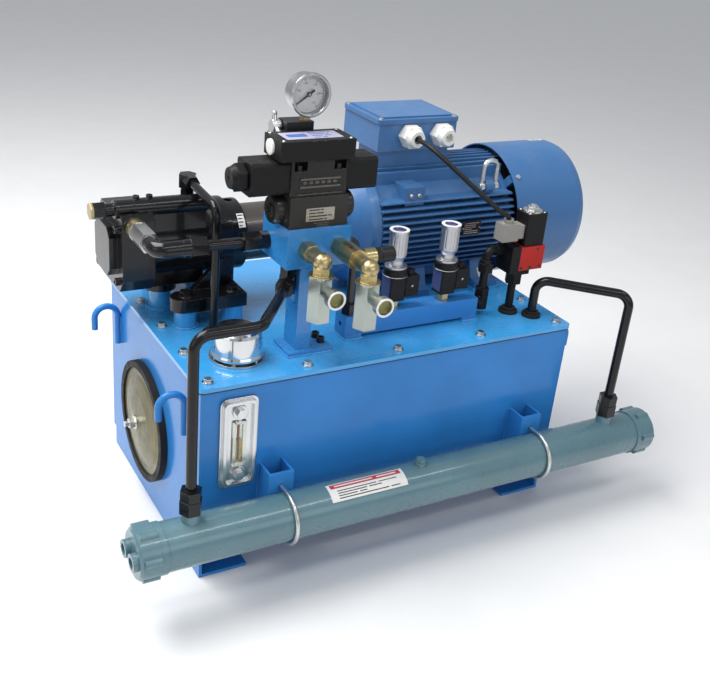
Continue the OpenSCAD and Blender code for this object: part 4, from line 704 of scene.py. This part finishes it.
def make_numbers():
    for i in range(6):
        a = math.radians(DIAL_ZERO - DIAL_SWEEP * i / 5)
        data = bpy.data.curves.new(f"gauge_number_{i}", "FONT")
        data.body = str(i * 50)
        data.size = 5.0 * MM
        data.extrude = 0.06 * MM
        data.align_x = "CENTER"
        data.align_y = "CENTER"
        data.materials.append(DARK_PRINT)
        o = bpy.data.objects.new(f"gauge_number_{i}", data)
        bpy.context.collection.objects.link(o)
        place = GAUGE + FRONT @ mm(19.3 * math.cos(a), 19.3 * math.sin(a), DIAL_TOP + 0.04)
        o.matrix_world = Matrix.Translation(place) @ FRONT.to_4x4()
        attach(o, "unit")


def make_lens_and_cap():
    bm = bmesh.new()
    lathe(bm, [(0, 17.2), (32.9, 17.2), (32.9, 19), (0, 19.4)], GAUGE, FRONT, 64, closed=False)
    piece("gauge_lens", bm, window_glass("gauge_glass", (0.97, 0.98, 0.98), 0.01), smooth=30)
    bm = bmesh.new()
    lathe(bm, [(0, 14.8), (1.6, 14.7), (2.4, 14.0), (2.5, 13.4), (0, 13.4)], GAUGE, FRONT, 24, closed=False)
    piece("needle_cap", bm, BRIGHT, "needle", smooth=40)


make_dial()
make_scale()
make_numbers()
make_lens_and_cap()


# ---------- knob tops, rings and caps ----------
RING_WHITE = surface("ring_white", ((0.78, 0.78, 0.76), 0.35, 0.0), grain=700, relief=0.05, spread=0.03,
                     worn=0.05)


def make_switch_trim():
    """The white ring, the violet insert and its slot on each knob, and the bright ring under it."""
    violet = surface("knob_insert", ((0.07, 0.05, 0.30), 0.28, 0.3), grain=500, relief=0.08, spread=0.2)
    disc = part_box("switch_bodies")[1].z
    for side in ("left", "right"):
        low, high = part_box(f"switch_knob_{side}")
        centre = (low + high) / 2
        top = Vector((centre.x, centre.y, high.z))
        body = f"knob_{side}"
        bm = bmesh.new()
        lathe(bm, [(13.2, -0.2), (19.7, -0.2), (19.5, 0.7), (18.6, 1.0), (14.2, 1.0), (13.3, 0.6)],
              top, TOP, 48)
        piece(f"knob_ring_{side}", bm, RING_WHITE, body, smooth=40)
        bm = bmesh.new()
        lathe(bm, [(0, -3.2), (9, -3.2), (12, -3.8), (12.8, -5.6), (0, -5.6)], top, TOP, 40, closed=False)
        piece(f"knob_insert_{side}", bm, violet, body, smooth=40)
        bm = bmesh.new()
        add_prism(bm, rounded(15, 2.4, 1.1, 3), 0.6, top + mm(0, 0, -3.3), TOP, 0.2)
        piece(f"knob_slot_{side}", bm, BRIGHT, body)
        bm = bmesh.new()
        lathe(bm, [(23.6, -15.4), (25, -15.4), (25.4, -14.8), (25, -14.2), (23.6, -14.2)],
              Vector((centre.x, centre.y, disc)), TOP, 48)
        piece(f"switch_ring_{side}", bm, BRIGHT, smooth=40)


def make_outlet_trim():
    cap = surface("cap_green", ((0.22, 0.21, 0.08), 0.32, 0.5), grain=500, relief=0.1, spread=0.25)
    for name, x, y in OUTLETS:
        mouth = mm(x, y - 62, 564)
        bm = bmesh.new()
        lathe(bm, [(0, -9), (9, -9), (12.4, -8.2), (13, -7), (13, -13.5), (0, -13.5)], mouth, FRONT, 40,
              closed=False)
        piece(f"outlet_cap_{name}", bm, cap, smooth=40)
        bm = bmesh.new()
        lathe(bm, [(13.4, -0.2), (17.3, -0.2), (17.2, 0.8), (16.2, 1.6), (14.4, 1.6), (13.5, 0.8)],
              mouth, FRONT, 48)
        piece(f"outlet_ring_{name}", bm, RING_WHITE, smooth=40)


make_switch_trim()
make_outlet_trim()


# ---------- small screws and marks ----------
def screw_heads(name, spots, basis, r):
    """Pan head screws with a cross recess, standing on their spots."""
    head = [(0, 0.34), (0.30, 0.34), (0.34, 0.56), (0.75, 0.42), (1, 0.12), (1, -0.1 / r), (0, -0.1 / r)]
    bm = bmesh.new()
    for spot in spots:
        place = mm(*spot)
        lathe(bm, [(u * r, v * r) for u, v in head], place, basis, 24, closed=False)
        for turn in (0.3, 0.3 + math.pi / 2):
            bar = basis @ Matrix.Rotation(turn, 3, "Z")
            recess = rounded(1.3 * r, 0.16 * r, 0.05 * r, 2)
            add_prism(bm, recess, 0.06 * r, place + bar @ mm(0, 0, 0.5 * r), bar)
    piece(name, bm, BRIGHT, smooth=35)


def make_screws():
    screw_heads("plug_screw", [(272, -159, 606)], TOP, 3.4)
    screw_heads("switch_plug_screws", [(x + 34, -161, 496) for x in SWITCH_X], FRONT, 2.4)
    screw_heads("earth_screws", [(134, -22, 628), (153, -22, 628)], FRONT, 5.2)
    corners = [(x, y, WIRING_BOX_TOP) for x in (-239, -111) for y in (-181, -126)]
    screw_heads("wiring_box_screws", corners, TOP, 3.2)
    screw_heads("coil_screws", [(x, y, 626) for x in (322, 358) for y in (-175, -143)], TOP, 2.6)


def make_port_rings():
    bm = bmesh.new()
    for x, z, r in ((314, 513, 2.6), (336, 512, 3.2), (361, 513, 2.6), (350, 551, 2.4)):
        lathe(bm, [(0, 0.15), (r, 0.15), (r + 0.7, 0.3), (r + 0.9, -0.1), (0, -0.1)], mm(x, -183, z),
              FRONT, 24, closed=False)
    piece("red_block_ports", bm, DARK_PRINT, smooth=40)


def make_valve_bars():
    """Plain raised bars between the two ribs of the valve body, and on the modular valve."""
    bm = bmesh.new()
    for i in range(6):
        add_prism(bm, rounded(7, 5, 1, 3), 0.7, mm(-196 + 11.6 * i, -183.9, 731), FRONT, 0.2)
    for i, wide in enumerate((30, 22, 26)):
        add_prism(bm, rounded(wide, 2.2, 1, 3), 0.5, mm(-160 + 2 * i, -186, 656.5 - 3.6 * i), FRONT, 0.15)
    raised = surface("worn_raised", ((0.10, 0.095, 0.085), 0.4, 0.3), grain=700, relief=0.3, spread=0.3,
                     worn=0.8, bare=(0.35, 0.33, 0.28))
    piece("valve_bars", bm, raised)


def make_solenoid_socket():
    """A small socket on the free end of the right solenoid."""
    bm = bmesh.new()
    add_prism(bm, rounded(20, 18, 2, 3), 5, mm(-50.2, -131, 752), RIGHT, 0.4)
    white = surface("socket_white", WHITE_PLASTIC, grain=700, relief=0.1, spread=0.05, worn=0.1)
    piece("solenoid_socket", bm, white)
    bm = bmesh.new()
    add_prism(bm, rounded(12, 10, 1, 3), 0.6, mm(-45.3, -131, 752), RIGHT, 0.1)
    piece("solenoid_socket_face", bm, DARK_PRINT)


def make_switch_labels():
    """Blue faces on the left sides of the switch bodies."""
    bm = bmesh.new()
    for x in SWITCH_X:
        add_prism(bm, rounded(30, 44, 2, 3), 0.4, mm(x - 18, -146, 496), LEFT, 0.1)
    piece("switch_side_labels", bm, surface("switch_label", ((0.05, 0.06, 0.16), 0.4, 0.0), worn=0.1))


make_screws()
make_port_rings()
make_valve_bars()
make_solenoid_socket()
make_switch_labels()


# ---------- oil level gauge ----------
def make_level_gauge():
    x, y, z = -335, -256, 287
    bm = bmesh.new()
    add_prism(bm, rounded(13, 46, 3), 4, mm(x, y - 1.6, z - 16), FRONT, 0.3)
    piece("gauge_oil", bm, window_glass("oil_column", (0.62, 0.42, 0.12), 0.02))
    bm = bmesh.new()
    add_prism(bm, rounded(24, 88, 2), 0.5, mm(x, y + 0.1, z), FRONT)
    card = surface("card_brown", ((0.20, 0.175, 0.14), 0.5, 0.0), worn=0)
    piece("gauge_scale_card", bm, card)
    bm = bmesh.new()
    for i in range(17):
        wide = 5 if i % 4 else 9
        place = mm(x - 11 + wide / 2, y - 0.4, z - 36 + i * 4.5)
        add_prism(bm, rounded(wide, 0.9, 0.2, 1), 0.2, place, FRONT)
    piece("gauge_marks", bm, DARK_PRINT)
    bm = bmesh.new()
    sweep(bm, [mm(x, y - 4, z + dz) for dz in (-37, 0, 37)], 1.5)
    piece("gauge_thermometer", bm, RED_PRINT, smooth=50)


make_level_gauge()


# ---------- welds ----------
def bead(bm, p, q, r):
    n = max(6, int((q - p).length / (1.2 * MM)))
    sweep(bm, [p.lerp(q, i / n) for i in range(n + 1)], r, 8, ripple=0.12)


def make_tank_beads():
    """Beads on both sides of the hooks and the cooler brackets, and along the feet."""
    bm = bmesh.new()
    hook_x, front_y, foot_z = 406.8, -257, 51.5
    for side in (-1, 1):
        for y in (-201, -189, 189, 201):
            bead(bm, mm(side * hook_x, y, 284), mm(side * hook_x, y, 344), 2.2)
    for x in (-291, -239, 282, 334):
        bead(bm, mm(x, front_y, 80), mm(x, front_y, 229), 2.0)
    for side in (-1, 1):
        bead(bm, mm(side * 396, front_y, foot_z), mm(side * 305, front_y, foot_z), 2.2)
        bead(bm, mm(side * 402, -250, 51), mm(side * 402, 250, 51), 2.0)
    piece("weld_beads", bm, TANK_PAINT, smooth=60)


def make_lid_beads():
    """Beads round the four pump posts, and round the feet of the manifold stand and the header."""
    bm = bmesh.new()
    z, post_r = 406, 22.3
    turns = [2 * math.pi * i / 90 for i in range(91)]
    for x in (-342, -247):
        for y in (-8, 184):
            ring = [mm(x + post_r * math.cos(a), y + post_r * math.sin(a), z) for a in turns]
            sweep(bm, ring, 2.2, 8, ripple=0.12)
    for x0, x1, y0, y1 in ((-216, -122, -201, -135), (-81, -43, -171, -125), (192, 230, -171, -125)):
        loop = [mm(x, y, z) for x, y in ((x0, y0), (x1, y0), (x1, y1), (x0, y1))]
        for p, q in zip(loop, loop[1:] + loop[:1]):
            bead(bm, p, q, 1.8)
    piece("lid_beads", bm, LID_PAINT, smooth=60)


make_tank_beads()
make_lid_beads()


# ---------- floor, lights, surroundings ----------
def make_floor():
    bm = bmesh.new()
    bmesh.ops.create_grid(bm, x_segments=8, y_segments=8, size=20.0)
    mesh = bpy.data.meshes.new("floor")
    bm.to_mesh(mesh)
    bm.free()
    floor = bpy.data.objects.new("floor", mesh)
    floor.location = (0, 0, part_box("tank_feet")[0].z - 0.5 * MM)
    bpy.context.collection.objects.link(floor)
    t = Tree("pale_floor")
    t.set("Base Color", t.dark_to_light((0.84, 0.84, 0.84), 0.015))
    t.set("Roughness", t.ramp(t.noise(30.0), 0.3, 0.7, 0.55, 0.7))
    mesh.materials.append(t.mat)


def make_world():
    world = bpy.data.worlds.new("studio")
    world.use_nodes = True
    back = world.node_tree.nodes["Background"]
    back.inputs["Color"].default_value = (0.92, 0.95, 1.0, 1)
    back.inputs["Strength"].default_value = 0.48
    bpy.context.scene.world = world
    bpy.context.scene.view_settings.view_transform = "Standard"


def lamp(name, place, target, size, power, colour=(1, 1, 1)):
    """A rectangular lamp that faces its target. Places and sizes are in metres."""
    data = bpy.data.lights.new(name, "AREA")
    data.shape = "RECTANGLE"
    data.size, data.size_y = size
    data.energy = power
    data.color = colour
    o = bpy.data.objects.new(name, data)
    o.location = place
    o.rotation_euler = (Vector(target) - Vector(place)).to_track_quat("-Z", "Y").to_euler()
    bpy.context.collection.objects.link(o)


make_floor()
make_world()
lamp("key", (-1.2, 0.6, 2.8), (0, 0, 0.3), (2.4, 1.6), 104, (1.0, 0.99, 0.97))
lamp("front", (0.6, -3.2, 1.5), (0, 0, 0.3), (2.6, 1.2), 14)
lamp("left", (-3.2, -0.8, 1.6), (0, 0, 0.4), (1.6, 1.6), 8, (0.95, 0.98, 1.0))
lamp("strip", (0.2, -1.5, 2.7), (0, -0.3, 0.2), (3.2, 0.2), 20)
